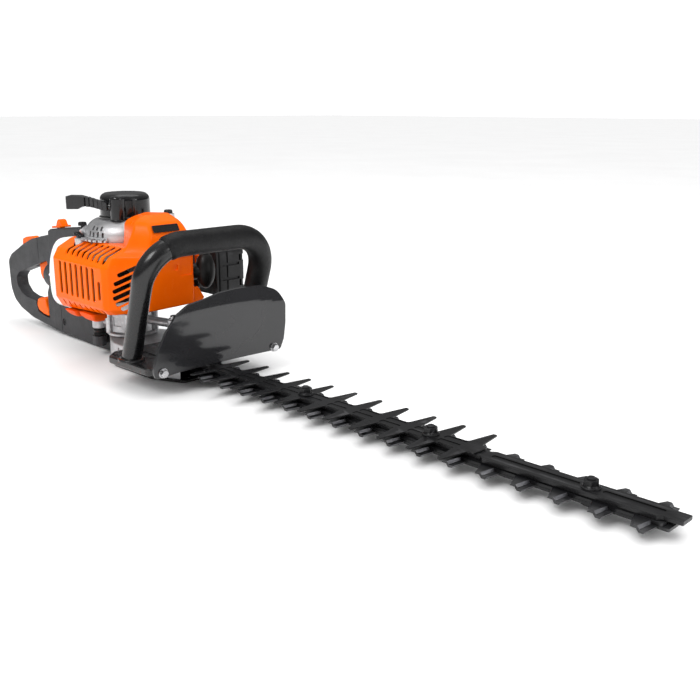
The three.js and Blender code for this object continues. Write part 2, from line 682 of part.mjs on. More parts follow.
function engineCover() {
  const flange = [[22, 97], [32, 98], [41, 84], [38, 80], [22, 78]];
  const outer = join(coverBody(0), coverHump(0), frontSlab(outline(flange, 1), 95.5, 99));
  const rearWall = post(53, 150, 190, 0, 0, 44);
  const inner = join(coverBody(2.4), cut(coverHump(2.4), rearWall));
  const starterRoom = post(50.5, 100, 190, 0, 0, 44);
  const headRoom = box(30, 57.5, -18, 30, 118, 150);
  const screwRoom = COVER_SCREWS.map(([r, angle]) => {
    return post(9, 120, 172, r * Math.cos(angle), r * Math.sin(angle), 18);
  });
  const plugRoom = rod(14, PLUG_FROM, along(PLUG_FROM, PLUG_TO, 1.8), 24);
  const tools = [inner, starterRoom, headRoom, ...screwRoom, plugRoom, ...coverSlots()];
  return cut(outer, ...tools);
}

/** Blank plate on the hump's front slope. */
function coverBadge() {
  const plate = toGeometry(slab(outline(rect(-15.5, 15.5, -3.8, 3.8), 1), 0, 1));
  plate.rotateX(1.05).rotateZ(Math.PI / 2).translate(97.1, -9, 170.6);
  return toSolid(plate);
}

function mufflerGuard() {
  const lobe = (x, top, length) => {
    const profile = [[-71, top], [-69.5, 62], [-65, 58.5], [-57, 58.5], [-52, 63], [-52, top]];
    return frontSlab(outline(profile, 3), x, x + length);
  };
  return join(lobe(-36, 65.8, 27), lobe(-1, 67.6, 33), box(-36, 32, -56, -53, 62, 65.8));
}

function muffler() {
  const body = slab(outline(rect(-30, 62, -69, -35), 8), 84, 122, 3);
  const port = rod(5, [58, -60, CYLINDER_Z], [58, -30, CYLINDER_Z], 14);
  const stub = rod(5.5, [-10, -52, 86], [-10, -52, 76], 16);
  return cut(join(body, stub), port, rod(4, [-10, -52, 96], [-10, -52, 70], 14));
}

// ---------------------------------------------------------------- fuel and air
const CAP_AT = [-72.5, 33]; // the filler cap's axis

function fuelTank() {
  const low = slab(outline(rect(-122, -57.5, -50, 50), 16), 55, 124, 8, 4);
  const high = slab(outline(rect(-112, -57.5, -49, 49), 14), 100, 147.5, 5, 3);
  const frameRoom = box(-130, -86, -14.5, 14.5, 129.8, 150);
  const neck = post(15, 140, 156, ...CAP_AT, 24);
  const room = slab(outline(rect(-119, -60.5, -47, 47), 14), 58, 126, 6);
  const throat = post(12, 120, 158, ...CAP_AT, 20);
  return cut(join(cut(join(low, high), frameRoom), neck), room, throat);
}

function fuelCap() {
  const skirt = turned([[15.4, 149.5], [18, 149.5], [18, 161], [16, 162], [0, 162], [0, 157], [15.4, 157]]);
  const plug = post(11.4, 151, 158, 0, 0, 20);
  const bar = slab(outline(rect(-14, 14, -2.5, 2.5), 1), 161.5, 165.5);
  return toSolid(toGeometry(join(skirt, plug, bar)).translate(...CAP_AT, 0));
}

function carburettor() {
  const body = box(42, 66, 34, 62, 90, 116);
  const bowl = post(10, 82, 91, 54, 48, 20);
  const flange = box(38, 70, 31.9, 35, 94, 112);
  const rear = box(38, 70, 61, 67.6, 94, 114);
  const bore = rod(6, [52, 25, CYLINDER_Z], [52, 75, CYLINDER_Z], 16);
  const lever = post(2.6, 115, 118, 46, 52, 12);
  const drill = rod(2.2, [66.1, 50, 96], [50, 50, 96], 10);
  return cut(join(body, bowl, flange, rear, lever), bore, drill);
}

function primerBulb() {
  const dome = turned([[0, 0], [9, 0], [9, 2], [7.5, 6], [4.5, 9], [0, 10]], 20);
  const whole = toGeometry(dome).rotateY(Math.PI / 2).translate(66.4, 50, 96);
  return toSolid(whole);
}

const CHOKE_AT = [54, 111]; // pivot of the choke lever, in Y and Z

function chokeLever() {
  const [y, z] = CHOKE_AT;
  const hub = rod(4.5, [66.4, y, z], [70.4, y, z], 16);
  const arm = frontSlab(outline(rect(y - 2.6, y + 2.6, z, z + 20), 2), 67.4, 69.8);
  const tab = box(67.4, 74, y - 2.6, y + 2.6, z + 16, z + 19);
  return join(hub, arm, tab);
}

const FILTER_BACK_Y = 68;

function airFilterBase() {
  const plate = sideSlab(outline(rect(8, 88, 80, 137), 8), FILTER_BACK_Y, 72);
  const bore = rod(6, [52, 60, CYLINDER_Z], [52, 80, CYLINDER_Z], 16);
  return cut(plate, bore);
}

function airFilterCover() {
  const shell = sideSlab(outline(rect(8, 88, 80, 137), 8), 72.3, 112, 2);
  const room = sideSlab(outline(rect(11, 85, 83, 134), 6), 60, 109);
  const band = box(0, 100, 95, 99, 70, 81).add(box(80.5, 92, 84, 100, 104, 112));
  return cut(shell, room, band);
}

function filterElement() {
  return sideSlab(outline(rect(14, 82, 86, 131), 5), 74, 92, 2);
}

// ---------------------------------------------------------------- ignition
function sparkPlug() {
  const at = (t) => along(PLUG_FROM, PLUG_TO, t);
  const thread = rod(5.2, at(0), at(0.33), 16);
  const hex = rod(8.4, at(0.32), at(0.55), 6);
  const insulator = rod(4.6, at(0.54), at(1.0), 16);
  return join(thread, hex, insulator);
}

function sparkPlugBoot() {
  const at = (t) => along(PLUG_FROM, PLUG_TO, t);
  const socket = rod(9.5, at(0.6), at(1.25), 20);
  const cap = new THREE.SphereGeometry(1, 12, 8);
  const bulb = toSolid(cap.scale(12, 12, 22).translate(97, 45, 116));
  const bore = rod(4.9, at(0.5), at(1.03), 16);
  const leadHole = rod(4.4, [97, 45, 126], [97, 45, 150], 16);
  return cut(join(socket, bulb), bore, leadHole);
}

const LEAD = [
  [31, 36, 146.3], [38, 44, 147], [52, 53, 148], [72, 55, 150], [88, 50, 150],
  [95, 46, 147], [97, 45, 139], [97, 45, 128],
];

function ignitionLead() {
  return swept(LEAD, 2.8, 14, 0, 3);
}

// ---------------------------------------------------------------- rear frame and cable
const CABLE = [
  [-186, 0, PIVOT_Z], [-172, 0, PIVOT_Z], [-154, 7, PIVOT_Z], [-140, 26, 80],
  [-126, 52, 84], [-92, 66, 92], [-40, 67, 104], [0, 64, 118], [28, 57, 126], [42, 52, 125],
  [46, 52, 120.5],
];

function rearFrame() {
  const side = [
    [SWIVEL_X, 4.5], [SWIVEL_X, 142], [-171, 145.5], [-98, 154], [-90, 150], [-92, 138],
    [-100, 130.5], [-124, 130.5], [-124, 54], [-112, 48], [-40, 44], [-34, 40], [-33, 2],
    [-60, 0.4],
  ];
  const body = sideSlab(outline(side, 4), -13, 13, 2.5, 2);
  const arm = [[-46, 9], [-46, 20], [-36, 37], [-25, 37.5], [-21, 31], [-24, 23.5], [-33, 19], [-34, 9]];
  const brackets = [-1, 1].map((side) => slab(outline(arm.map(([x, y]) => [x, side * y]), 3), 13, 26));
  const seats = [-1, 1].map((side) => post(2.8, 20, 30, MOUNT[0], side * MOUNT[1], 12));
  const face = rod(19, [SWIVEL_X, 0, PIVOT_Z], [-168, 0, PIVOT_Z], 32);
  const stub = rod(9, [-186.2, 0, PIVOT_Z], [-170, 0, PIVOT_Z], 24);
  const collar = rod(12, [-186.2, 0, PIVOT_Z], [-183.2, 0, PIVOT_Z], 24);
  const channel = swept(CABLE.slice(0, 6), 3.6, 10, 0, 3);
  const switchSlot = box(-170.5, -153, -4.4, 4.4, 138, 160);
  const whole = join(body, ...brackets, face, stub, collar);
  return cut(whole, channel, switchSlot, ...seats, rod(4, [-200, 0, PIVOT_Z], [-180, 0, PIVOT_Z]));
}

function throttleCable() {
  return swept(CABLE, 2, 26, 0, 3);
}

function stopSwitch() {
  const plate = [[-174, 146], [-174, 148.6], [-151, 151.3], [-151, 148.7]];
  const thumb = [[-169, 147.5], [-164, 157], [-157, 158], [-152, 150]];
  const ridges = [-162, -159].map((x) => rod(1, [x, -5, 157.4], [x, 5, 157.4], 8));
  const stem = box(-168, -160, -4, 4, 140, 149);
  return join(sideSlab(outline(plate), -8, 8), sideSlab(outline(thumb, 1.5), -5, 5), stem, ...ridges);
}

// ---------------------------------------------------------------- rear handle
const HANDLE_FRONT = SWIVEL_X - GAP;
const TRIGGER_PIN = [-208, 108];
const LOCKOUT_PIN = [-226, 117];
const LEVER_PIN = [-204, 26];

function handleBlock() {
  const outside = [
    [HANDLE_FRONT, 137], [-199, 133], [-230, 126], [-262, 115], [-302, 96.5], [-313, 86],
    [-312, 46], [-303, 30], [-284, 19], [-250, 11], [-212, 8], [HANDLE_FRONT, 5],
  ];
  const shape = outline(outside, 9);
  const hole = [
    [-188.5, 101], [-283, 72], [-292, 64], [-291, 52], [-279, 42], [-262, 38], [-201, 36],
    [-196, 52], [-188.5, 66],
  ];
  const handRoom = sideSlab(outline(hole, 5), -20, 20, 0, 2);
  const body = sideSlab(shape, -HANDLE_HALF, HANDLE_HALF, 4, 4);
  const face = rod(19, [-192, 0, PIVOT_Z], [HANDLE_FRONT, 0, PIVOT_Z], 32);
  const taper = [[-330, -8.7], [-275, -8.7], [-215, -12], [-190, -20], [-170, -20]];
  const plan = [...taper, ...taper.map(([x, y]) => [x, -y]).reverse()];
  return cut(join(body, face), handRoom).intersect(slab(outline(plan), 0, 150));
}

function handlePockets() {
  const stub = rod(9.8, [-186.6, 0, PIVOT_Z], [-170, 0, PIVOT_Z], 24);
  const collar = rod(12.9, [-186.8, 0, PIVOT_Z], [-182.6, 0, PIVOT_Z], 24);
  const trigger = box(-238, -198, -5.4, 5.4, 76, 118);
  const lockout = box(-275, -218, -5, 5, 94, 135);
  const around = [[-194.5, 17.5], [-212, 18.5], [-229, 22], [-234, 32], [-230, 60], [-194.5, 60]];
  const cheeks = [sideSlab(outline(around), -30, -4.3), sideSlab(outline(around), 4.3, 30)];
  const pinHole = ([x, z]) => rod(2.6, [x, -8, z], [x, 8, z], 12);
  const pins = [TRIGGER_PIN, LOCKOUT_PIN, LEVER_PIN].map(pinHole);
  return [stub, collar, trigger, lockout, ...cheeks, ...pins];
}

function handleHalf(side) {
  const keep = side > 0 ? box(-330, -170, 0.15, 30, 0, 150) : box(-330, -170, -30, -0.15, 0, 150);
  return cut(handleBlock().intersect(keep), ...handlePockets());
}


function pinned(shape, halfWidth, [x, z], bevel = 1) {
  const pin = rod(2.2, [x, -7.6, z], [x, 7.6, z], 12);
  return join(sideSlab(shape, -halfWidth, halfWidth, bevel, 3), pin);
}

function throttleTrigger() {
  const side = [[-202, 112], [-213, 112], [-220, 99], [-225, 90], [-224, 77], [-219, 69.5],
    [-210, 69.5], [-203.5, 79], [-200.5, 92]];
  return pinned(outline(side, 3), 4.8, TRIGGER_PIN);
}

function lockoutLever() {
  const side = [[-221, 122], [-222, 113], [-236, 106], [-262, 100.5], [-272, 108], [-272, 121.5],
    [-262, 125], [-240, 128.5]];
  return pinned(outline(side, 3), 4.4, LOCKOUT_PIN);
}

function swivelLock() {
  const side = [[-198, 20], [-212, 21], [-226, 24.5], [-231, 32], [-227, 41], [-216, 44.5],
    [-204, 44.5], [-202, 34], [-198, 28]];
  const web = [[-190, 0], [-240, 0], [-240, 39.5], [-207.5, 38.6], [-207.5, 60], [-190, 60]];
  const webRoom = sideSlab(outline(web), -4.6, 4.6);
  const cheeks = cut(sideSlab(outline(side, 3), -11, 11, 1.5, 2), webRoom);
  const [x, z] = LEVER_PIN;
  return join(cheeks, rod(2.2, [x, -7.6, z], [x, 7.6, z], 12));
}

// ---------------------------------------------------------------- assembly
add("gear_case_bottom_cover", "gloss_black", gearCaseBottom());
add("gear_case", "silver", gearCase());
add("drive_gear", "steel", driveGear());
add("clutch_drum", "steel", clutchDrum());
add("clutch_rotor", "steel", clutchRotor());
add("clutch_housing", "silver", clutchHousing());
add("upper_blade", "black_steel", cuttingBlade(UPPER_Z, 0));
add("lower_blade", "black_steel", cuttingBlade(LOWER_Z, 5));
add("guide_bar", "black_steel", guideBar());
add("comb_plate", "black_steel", combPlate());
BOLT_X.forEach((x, i) => {
  const seat = (x > COMB_TIP_X ? BAR_Z[1] : COMB_Z[1]) + GAP;
  add(`blade_bolt_${i + 1}`, "black_steel", bladeBolt(x, seat));
});
add("base_plate", "gloss_black", basePlate());
add("blade_guard", "guard_plastic", bladeGuard());
add("guard_bolt_right", "steel", guardBolt(-1));
add("guard_bolt_left", "steel", guardBolt(1));
add("front_handle", "gloss_black", frontHandle());
add("front_handle_grip", "foam", frontGrip());
add("crankcase", "silver", crankcase());
add("crankshaft_lower_half", "steel", crankHalf(-1, 41));
add("crankshaft_upper_half", "steel", crankHalf(1, 189));
add("connecting_rod", "steel", connectingRod());
add("piston", "silver", piston());
add("cylinder", "silver", cylinder());
add("muffler", "steel", muffler());
add("muffler_guard", "orange", mufflerGuard());
add("engine_cover", "orange", engineCover());
add("cover_badge", "gloss_black", coverBadge());
add("flywheel", "silver", flywheel());
add("ignition_coil", "gloss_black", ignitionCoil());
add("ignition_lead", "rubber", ignitionLead());
add("spark_plug", "silver", sparkPlug());
add("spark_plug_boot", "rubber", sparkPlugBoot());
add("starter_cover", "silver", starterCover());
COVER_SCREWS.forEach((place, i) => {
  add(`starter_cover_screw_${i + 1}`, "black_steel", coverScrew(place));
});
add("starter_pulley", "charcoal", starterPulley());
add("recoil_spring", "steel", recoilSpring());
add("recoil_cover", "gloss_black", recoilCover());
add("starter_rope", "rubber", starterRope());
add("starter_grip", "gloss_black", starterGrip());
add("fuel_tank", "white_tank", fuelTank());
add("fuel_cap", "gloss_black", fuelCap());
add("carburettor", "silver", carburettor());
add("primer_bulb", "rubber", primerBulb());
add("choke_lever", "orange", chokeLever());
add("air_filter_base", "charcoal", airFilterBase());
add("filter_element", "paper", filterElement());
add("air_filter_cover", "charcoal", airFilterCover());
add("rear_frame", "charcoal", rearFrame());
add("rubber_mount_right", "rubber", rubberMount(-1));
add("rubber_mount_left", "rubber", rubberMount(1));
add("stop_switch", "orange", stopSwitch());
add("throttle_cable", "rubber", throttleCable());
add("rear_handle_right", "charcoal", handleHalf(-1));
add("rear_handle_left", "charcoal", handleHalf(1));
add("throttle_trigger", "orange", throttleTrigger());
add("lockout_lever", "orange", lockoutLever());
add("swivel_lock", "orange", swivelLock());

export default group;
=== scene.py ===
"""Petrol hedge trimmer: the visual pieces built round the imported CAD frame."""

import math

import bmesh
import bpy
from mathutils import Matrix, Vector
from mathutils.bvhtree import BVHTree


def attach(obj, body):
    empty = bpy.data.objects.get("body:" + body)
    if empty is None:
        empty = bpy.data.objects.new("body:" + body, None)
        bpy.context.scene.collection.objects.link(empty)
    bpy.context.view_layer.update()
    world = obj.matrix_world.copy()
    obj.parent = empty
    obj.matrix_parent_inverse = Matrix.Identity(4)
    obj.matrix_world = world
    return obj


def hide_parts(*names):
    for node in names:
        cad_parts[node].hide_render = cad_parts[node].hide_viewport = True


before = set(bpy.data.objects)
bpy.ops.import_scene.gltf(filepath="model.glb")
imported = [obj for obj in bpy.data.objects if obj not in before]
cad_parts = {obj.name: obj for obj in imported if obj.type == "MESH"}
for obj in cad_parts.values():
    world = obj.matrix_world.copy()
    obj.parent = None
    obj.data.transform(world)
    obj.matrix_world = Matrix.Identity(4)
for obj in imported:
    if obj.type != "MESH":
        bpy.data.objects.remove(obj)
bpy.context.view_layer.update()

# ---- dimensions, in millimetres
MM = 0.001
PITCH = 35  # tooth spacing of comb and cutters
COMB_X = [180 + PITCH * i for i in range(11)]
COMB_START, COMB_END = 100, 544
STRIP_HALF = 12.5  # half the width of a blade's toothless strip
TOOTH_TIP = 27.9
COMB_Z = (19.0, 20.6)
BAR_Z = (14.5, 18.7)
UPPER_Z = (11.8, 14.2)
LOWER_Z = (9.1, 11.5)
BOLT_X = (322, 488, 650)
PLATE_TOP = 34
PIVOT_Z = 80
SWIVEL_X = -178
HANDLE_FRONT = -178.3
MOUNT = (-29, 30)  # x of the rubber mounts and their reach in y
CAP_AT = (-72.5, 33)  # axis of the fuel cap
GAP = 0.3
GEAR_AT = (45, 0)  # axis of the drive gear
ARM_END = (70, 15)  # where the clutch housing's arm is screwed down
FOOT_X, FOOT_Y = 126, 81  # feet of the front handle on the base plate
GUARD_BOLT_Y, GUARD_BOLT_Z = 78, 31
INTAKE = (52, 105)  # x and z of the carburettor's bore
PLUG_WAY = ((72.5, 13, 111), (92, 38, 115))  # the spark plug's axis
BOOT_AT = (97, 45)  # where the ignition lead comes down into the plug boot

# ---- outlines and points
def fillet(points, radius=0.0, steps=5, closed=True):
    """Rounds the corners of a polyline. A point may carry its own radius as a last value."""
    out = []
    count = len(points)
    for i, point in enumerate(points):
        own = point[2] if len(point) == 3 else radius
        here = Vector(point[:2])
        if not closed and i in (0, count - 1) or own <= 0:
            out.append(here)
            continue
        back = Vector(points[i - 1][:2]) - here
        on = Vector(points[(i + 1) % count][:2]) - here
        turn = back.angle(on, math.pi)
        trim = min(own / max(math.tan(turn / 2), 1e-3), back.length * 0.49, on.length * 0.49)
        a = here + back.normalized() * trim
        b = here + on.normalized() * trim
        for k in range(steps + 1):
            t = k / steps
            out.append(a * (1 - t) ** 2 + here * 2 * t * (1 - t) + b * t**2)
    return out


def rect(x0, x1, y0, y1):
    return [(x0, y0), (x1, y0), (x1, y1), (x0, y1)]


def on_side(side, near, far):
    """Two distances from the middle plane as rising values, on the side -1 or 1."""
    return sorted((side * near, side * far))


def mount_at(side):
    return (MOUNT[0], side * MOUNT[1])


def along(a, b, t):
    return [p + (q - p) * t for p, q in zip(a, b)]


def smooth_path(points, steps=8):
    """Points of a Catmull-Rom curve through 3-D points."""
    pts = [Vector(p) for p in points]
    pts = [2 * pts[0] - pts[1], *pts, 2 * pts[-1] - pts[-2]]
    out = []
    for i in range(1, len(pts) - 2):
        p0, p1, p2, p3 = pts[i - 1 : i + 3]
        for k in range(steps):
            t = k / steps
            out.append(
                0.5
                * (
                    2 * p1
                    + (p2 - p0) * t
                    + (2 * p0 - 5 * p1 + 4 * p2 - p3) * t**2
                    + (3 * p1 - p0 - 3 * p2 + p3) * t**3
                )
            )
    out.append(pts[-2])
    return out


# ---- closed bodies as bmesh
AXES = {
    "z": lambda a, b, h: (a, b, h),
    "y": lambda a, b, h: (a, h, b),
    "x": lambda a, b, h: (h, a, b),
}


def closed(bm):
    bmesh.ops.recalc_face_normals(bm, faces=bm.faces[:])
    return bm


def loft(rings, cap=True):
    """A skin through rings of equally many 3-D points."""
    bm = bmesh.new()
    grid = [[bm.verts.new(p) for p in ring] for ring in rings]
    n = len(rings[0])
    for low, high in zip(grid, grid[1:]):
        for i in range(n):
            bm.faces.new((low[i], low[(i + 1) % n], high[(i + 1) % n], high[i]))
    if cap:
        bm.faces.new(grid[0][::-1])
        bm.faces.new(grid[-1])
    return closed(bm)


def prism(outline, low, high, axis="z"):
    put = AXES[axis]
    return loft([[put(p[0], p[1], h) for p in outline] for h in (low, high)])


def box(x0, x1, y0, y1, z0, z1):
    return prism(rect(x0, x1, y0, y1), z0, z1)


def round_box(x0, x1, y0, y1, low, high, corner, axis="z", steps=5):
    """A box whose four upright edges are round."""
    return prism(fillet(rect(x0, x1, y0, y1), corner, steps), low, high, axis)


def lathe(profile, sides=48, centre=(0, 0), axis="z"):
    """Turns a closed (radius, height) profile about an upright axis."""
    bm = bmesh.new()
    put = AXES[axis]
    rings = []
    for r, h in profile:
        if r < 1e-6:
            rings.append([bm.verts.new(put(centre[0], centre[1], h))])
            continue
        ring = []
        for i in range(sides):
            a = 2 * math.pi * i / sides
            ring.append(bm.verts.new(put(centre[0] + r * math.cos(a), centre[1] + r * math.sin(a), h)))
        rings.append(ring)
    pairs = list(zip(rings, rings[1:]))
    if len(rings[0]) > 1:
        pairs.append((rings[-1], rings[0]))
    for a, b in pairs:
        for i in range(sides):
            j = (i + 1) % sides
            corners = [a[i % len(a)], a[j % len(a)], b[j % len(b)], b[i % len(b)]]
            distinct = list(dict.fromkeys(corners))
            if len(distinct) > 2:
                bm.faces.new(distinct)
    return closed(bm)


def spindle(profile, *place, **kind):
    """A turned solid without a bore: its profile is closed along the axis."""
    return lathe([(0, profile[0][1]), *profile, (0, profile[-1][1])], *place, **kind)


def drum(r, low, high, sides=48, centre=(0, 0), axis="z"):
    """A plain cylinder between two heights."""
    return spindle([(r, low), (r, high)], sides, centre, axis)


def frames_along(path):
    """Point, side and up vectors along a path, without twist."""
    pts = [Vector(p) for p in path]
    ways = []
    for i, p in enumerate(pts):
        ahead = pts[min(i + 1, len(pts) - 1)]
        behind = pts[max(i - 1, 0)]
        ways.append((ahead - behind).normalized())
    side = ways[0].cross(Vector((0, 0, 1)))
    if side.length < 0.1:
        side = ways[0].cross(Vector((0, 1, 0)))
    side.normalize()
    out = []
    for p, way in zip(pts, ways):
        side = (side - way * side.dot(way)).normalized()
        out.append((p, side, side.cross(way)))
    return out


def sweep(path, section, scale=lambda t: 1.0):
    """A closed body of one section carried along a path."""
    places = frames_along(path)
    rings = []
    for i, (p, side, up) in enumerate(places):
        k = scale(i / (len(places) - 1))
        rings.append([p + side * a * k + up * b * k for a, b in section])
    return loft(rings)


def ring_section(r, sides=20):
    return [
        (r * math.cos(2 * math.pi * i / sides), r * math.sin(2 * math.pi * i / sides))
        for i in range(sides)
    ]


def tube(path, r, sides=20, scale=lambda t: 1.0):
    return sweep(path, ring_section(r, sides), scale)


def rod(r, a, b, sides=24):
    return tube([a, b], r, sides)


def ball(centre, radii, sides=28, rings=16):
    profile = []
    for i in range(rings + 1):
        a = -math.pi / 2 + math.pi * i / rings
        profile.append((max(math.cos(a), 0) if 0 < i < rings else 0, math.sin(a)))
    bm = lathe(profile, sides)
    for v in bm.verts:
        v.co = Vector([c + x * r for c, x, r in zip(centre, v.co, radii)])
    return bm


def moved(bm, matrix):
    bmesh.ops.transform(bm, matrix=matrix, verts=bm.verts[:])
    return bm


def shift(bm, x=0, y=0, z=0):
    return moved(bm, Matrix.Translation((x, y, z)))


def turned(bm, angle, axis="Z", about=(0, 0, 0)):
    there = Matrix.Translation(about)
    return moved(bm, there @ Matrix.Rotation(angle, 4, axis) @ there.inverted())


# ---- booleans and edges
def as_temp(bm):
    mesh = bpy.data.meshes.new("temp")
    bm.to_mesh(mesh)
    bm.free()
    obj = bpy.data.objects.new("temp", mesh)
    bpy.context.scene.collection.objects.link(obj)
    return obj


def drop(obj):
    mesh = obj.data
    bpy.data.objects.remove(obj)
    bpy.data.meshes.remove(mesh)


def combined(body, tools, operation):
    base = as_temp(body)
    helpers = [as_temp(t) for t in tools]
    for helper in helpers:
        mod = base.modifiers.new("boolean", "BOOLEAN")
        mod.object = helper
        mod.operation = operation
        mod.solver = "MANIFOLD"
    bpy.context.view_layer.update()
    depsgraph = bpy.context.evaluated_depsgraph_get()
    out = bmesh.new()
    out.from_mesh(base.evaluated_get(depsgraph).to_mesh())
    for obj in (base, *helpers):
        drop(obj)
    return out


def cut(body, *tools):
    return combined(body, tools, "DIFFERENCE")


def join(body, *others):
    return combined(body, others, "UNION")


def meet(body, other):
    return combined(body, [other], "INTERSECT")


def tidy(bm, distance=0.02):
    bmesh.ops.remove_doubles(bm, verts=bm.verts[:], dist=distance)
    bmesh.ops.dissolve_degenerate(bm, edges=bm.edges[:], dist=distance / 2)
    return bm


def eased(bm, width, segments=2, angle=50, keep=None):
    """Rounds the edges sharper than an angle."""
    tidy(bm)
    bmesh.ops.dissolve_limit(
        bm, angle_limit=math.radians(0.6), verts=bm.verts[:], edges=bm.edges[:]
    )
    edges = [
        e
        for e in bm.edges
        if len(e.link_faces) == 2
        and e.calc_face_angle(0) > math.radians(angle)
        and (keep is None or keep(e))
    ]
    bmesh.ops.bevel(
        bm, geom=edges, offset=width, segments=segments, profile=0.5,
        affect="EDGES", clamp_overlap=True,
    )
    return bm


# ---- materials
LOOKS = {}


def feed(tree, node, **inputs):
    """Sets a node's inputs by name: another node's output is wired in, anything else is a value."""
    for name, value in inputs.items():
        socket = node.inputs[name.replace("_", " ")]
        if isinstance(value, bpy.types.NodeSocket):
            tree.links.new(value, socket)
        else:
            socket.default_value = value
    return node


def add_node(tree, kind, **inputs):
    return feed(tree, tree.nodes.new(kind), **inputs)


def maths(tree, operation, a, b):
    node = tree.nodes.new("ShaderNodeMath")
    node.operation = operation
    tree.links.new(a, node.inputs[0])
    tree.links.new(b, node.inputs[1])
    return node.outputs["Value"]


def colour_socket(sockets, name):
    """The colour socket of a Mix node, which has one of this name for every type."""
    return [s for s in sockets if s.name == name and s.type == "RGBA"][0]


def colour_mix(tree, fac, a, b, kind="MIX"):
    """Mixes two colours, each given as three numbers or as another node's output."""
    node = add_node(tree, "ShaderNodeMix")
    node.data_type = "RGBA"
    node.blend_type = kind
    feed(tree, node, Factor=fac)
    for name, value in (("A", a), ("B", b)):
        socket = colour_socket(node.inputs, name)
        if isinstance(value, tuple):
            socket.default_value = (*value, 1)
        else:
            tree.links.new(value, socket)
    return colour_socket(node.outputs, "Result")


def surface(
    name, dark, light, rough, metal=0.0, cloud=28, grain=1400, depth=0.15, spread=0.06,
    stretch=(1, 1, 1), worn=None, pores=0, specks=0.0, **shader,
):
    """A look with two tones, fine relief, uneven gloss and, if asked, rubbed edges."""
    mat = bpy.data.materials.new(name)
    mat.use_nodes = True
    tree = mat.node_tree
    place = add_node(tree, "ShaderNodeTexCoord")
    mapping = add_node(tree, "ShaderNodeMapping", Scale=stretch, Vector=place.outputs["Object"])
    at = mapping.outputs["Vector"]

    def noise(scale, detail, roughness=0.55):
        node = add_node(
            tree, "ShaderNodeTexNoise", Scale=scale, Detail=detail, Roughness=roughness, Vector=at
        )
        return node.outputs["Fac"]

    def ramp(value, low, high, **result):
        node = add_node(
            tree, "ShaderNodeMapRange", From_Min=low, From_Max=high, Value=value, **result
        )
        return node.outputs["Result"]

    colour = colour_mix(tree, ramp(noise(cloud, 5), 0.32, 0.68), dark, light)
    relief = noise(grain, 3)
    if specks:
        dots = ramp(noise(grain * 0.45, 2), 0.6, 0.72)
        bright = tuple(min(1, c * (1 + specks) + 0.01 * specks) for c in light)
        colour = colour_mix(tree, dots, colour, bright)
    if worn:
        shape = add_node(tree, "ShaderNodeNewGeometry")
        edge = ramp(shape.outputs["Pointiness"], 0.53, 0.6)
        rubbed = maths(tree, "MULTIPLY", edge, ramp(noise(cloud * 5, 4), 0.35, 0.7))
        colour = colour_mix(tree, rubbed, colour, worn)
    uneven = noise(cloud * 3.3, 6, 0.65)
    gloss = ramp(uneven, 0.3, 0.7, To_Min=rough - spread, To_Max=rough + spread)
    if pores:
        cells = add_node(tree, "ShaderNodeTexVoronoi", Scale=pores, Vector=at)
        relief = maths(tree, "ADD", cells.outputs["Distance"], relief)
    bump = add_node(tree, "ShaderNodeBump", Strength=depth, Distance=0.0004, Height=relief)
    feed(
        tree, tree.nodes["Principled BSDF"], Base_Color=colour, Roughness=gloss,
        Normal=bump.outputs["Normal"], Metallic=metal, **shader,
    )
    LOOKS[name] = mat
    return mat


surface(
    "orange_plastic", (0.90, 0.114, 0.0002), (1.0, 0.144, 0.0003), 0.24, cloud=16,
    grain=1100, depth=0.08, spread=0.05, worn=(1.0, 0.18, 0.004), Specular_IOR_Level=0.09,
)
# Painted shade: a darker copy of the orange plastic, for the scoops that sit in the cover's shadow
surface(
    "orange_painted_shade", (0.74, 0.070, 0.0004), (0.86, 0.092, 0.0005), 0.42, cloud=20, depth=0.12,
    Specular_IOR_Level=0.1,
)
# Painted shade: near-black for the cover's inner faces, so its slots and inside read as shadow; the real
# cover is orange inside
surface(
    "painted_shade_inside", (0.006, 0.005, 0.004), (0.010, 0.008, 0.007), 0.7, cloud=30, depth=0.1,
    Specular_IOR_Level=0.1,
)
surface(
    "charcoal_dark", (0.007, 0.007, 0.0075), (0.012, 0.012, 0.013), 0.42, cloud=22,
    grain=900, depth=0.3, pores=750, spread=0.06, worn=(0.03, 0.03, 0.032),
    Specular_IOR_Level=0.3,
)
surface(
    "charcoal_plastic", (0.026, 0.026, 0.028), (0.036, 0.036, 0.039), 0.50, cloud=22,
    grain=900, depth=0.35, pores=750, spread=0.06, worn=(0.07, 0.07, 0.074),
    Specular_IOR_Level=0.35,
)
surface(
    "black_gloss_plastic", (0.004, 0.004, 0.0045), (0.007, 0.007, 0.0075), 0.20, cloud=25,
    grain=700, depth=0.05, spread=0.05, worn=(0.03, 0.03, 0.032), Coat_Weight=0.35,
    Coat_Roughness=0.10, Specular_IOR_Level=0.4,
)
surface(
    "black_paint", (0.004, 0.004, 0.0045), (0.008, 0.008, 0.0085), 0.26, cloud=30,
    grain=420, depth=0.12, spread=0.06, worn=(0.05, 0.05, 0.053), Coat_Weight=0.3,
    Coat_Roughness=0.14, Specular_IOR_Level=0.4,
)
surface(
    "rubber_black", (0.004, 0.004, 0.004), (0.008, 0.008, 0.008), 0.40, cloud=40,
    grain=900, depth=0.15, spread=0.08, Specular_IOR_Level=0.3,
)
surface(
    "cast_aluminium", (0.42, 0.42, 0.43), (0.60, 0.60, 0.61), 0.40, metal=0.75, cloud=34,
    grain=650, depth=0.35, pores=420, spread=0.09, worn=(0.78, 0.78, 0.79), specks=0.08,
)
surface(
    "bright_steel", (0.46, 0.46, 0.47), (0.66, 0.66, 0.67), 0.26, metal=1.0, cloud=60,
    grain=500, depth=0.12, stretch=(1, 1, 6), spread=0.08,
)
surface(
    "blackened_steel", (0.004, 0.004, 0.0045), (0.009, 0.009, 0.010), 0.32, metal=0.15,
    cloud=26, grain=380, depth=0.15, stretch=(0.35, 1, 1), spread=0.08,
    worn=(0.06, 0.06, 0.063), Specular_IOR_Level=0.32,
)
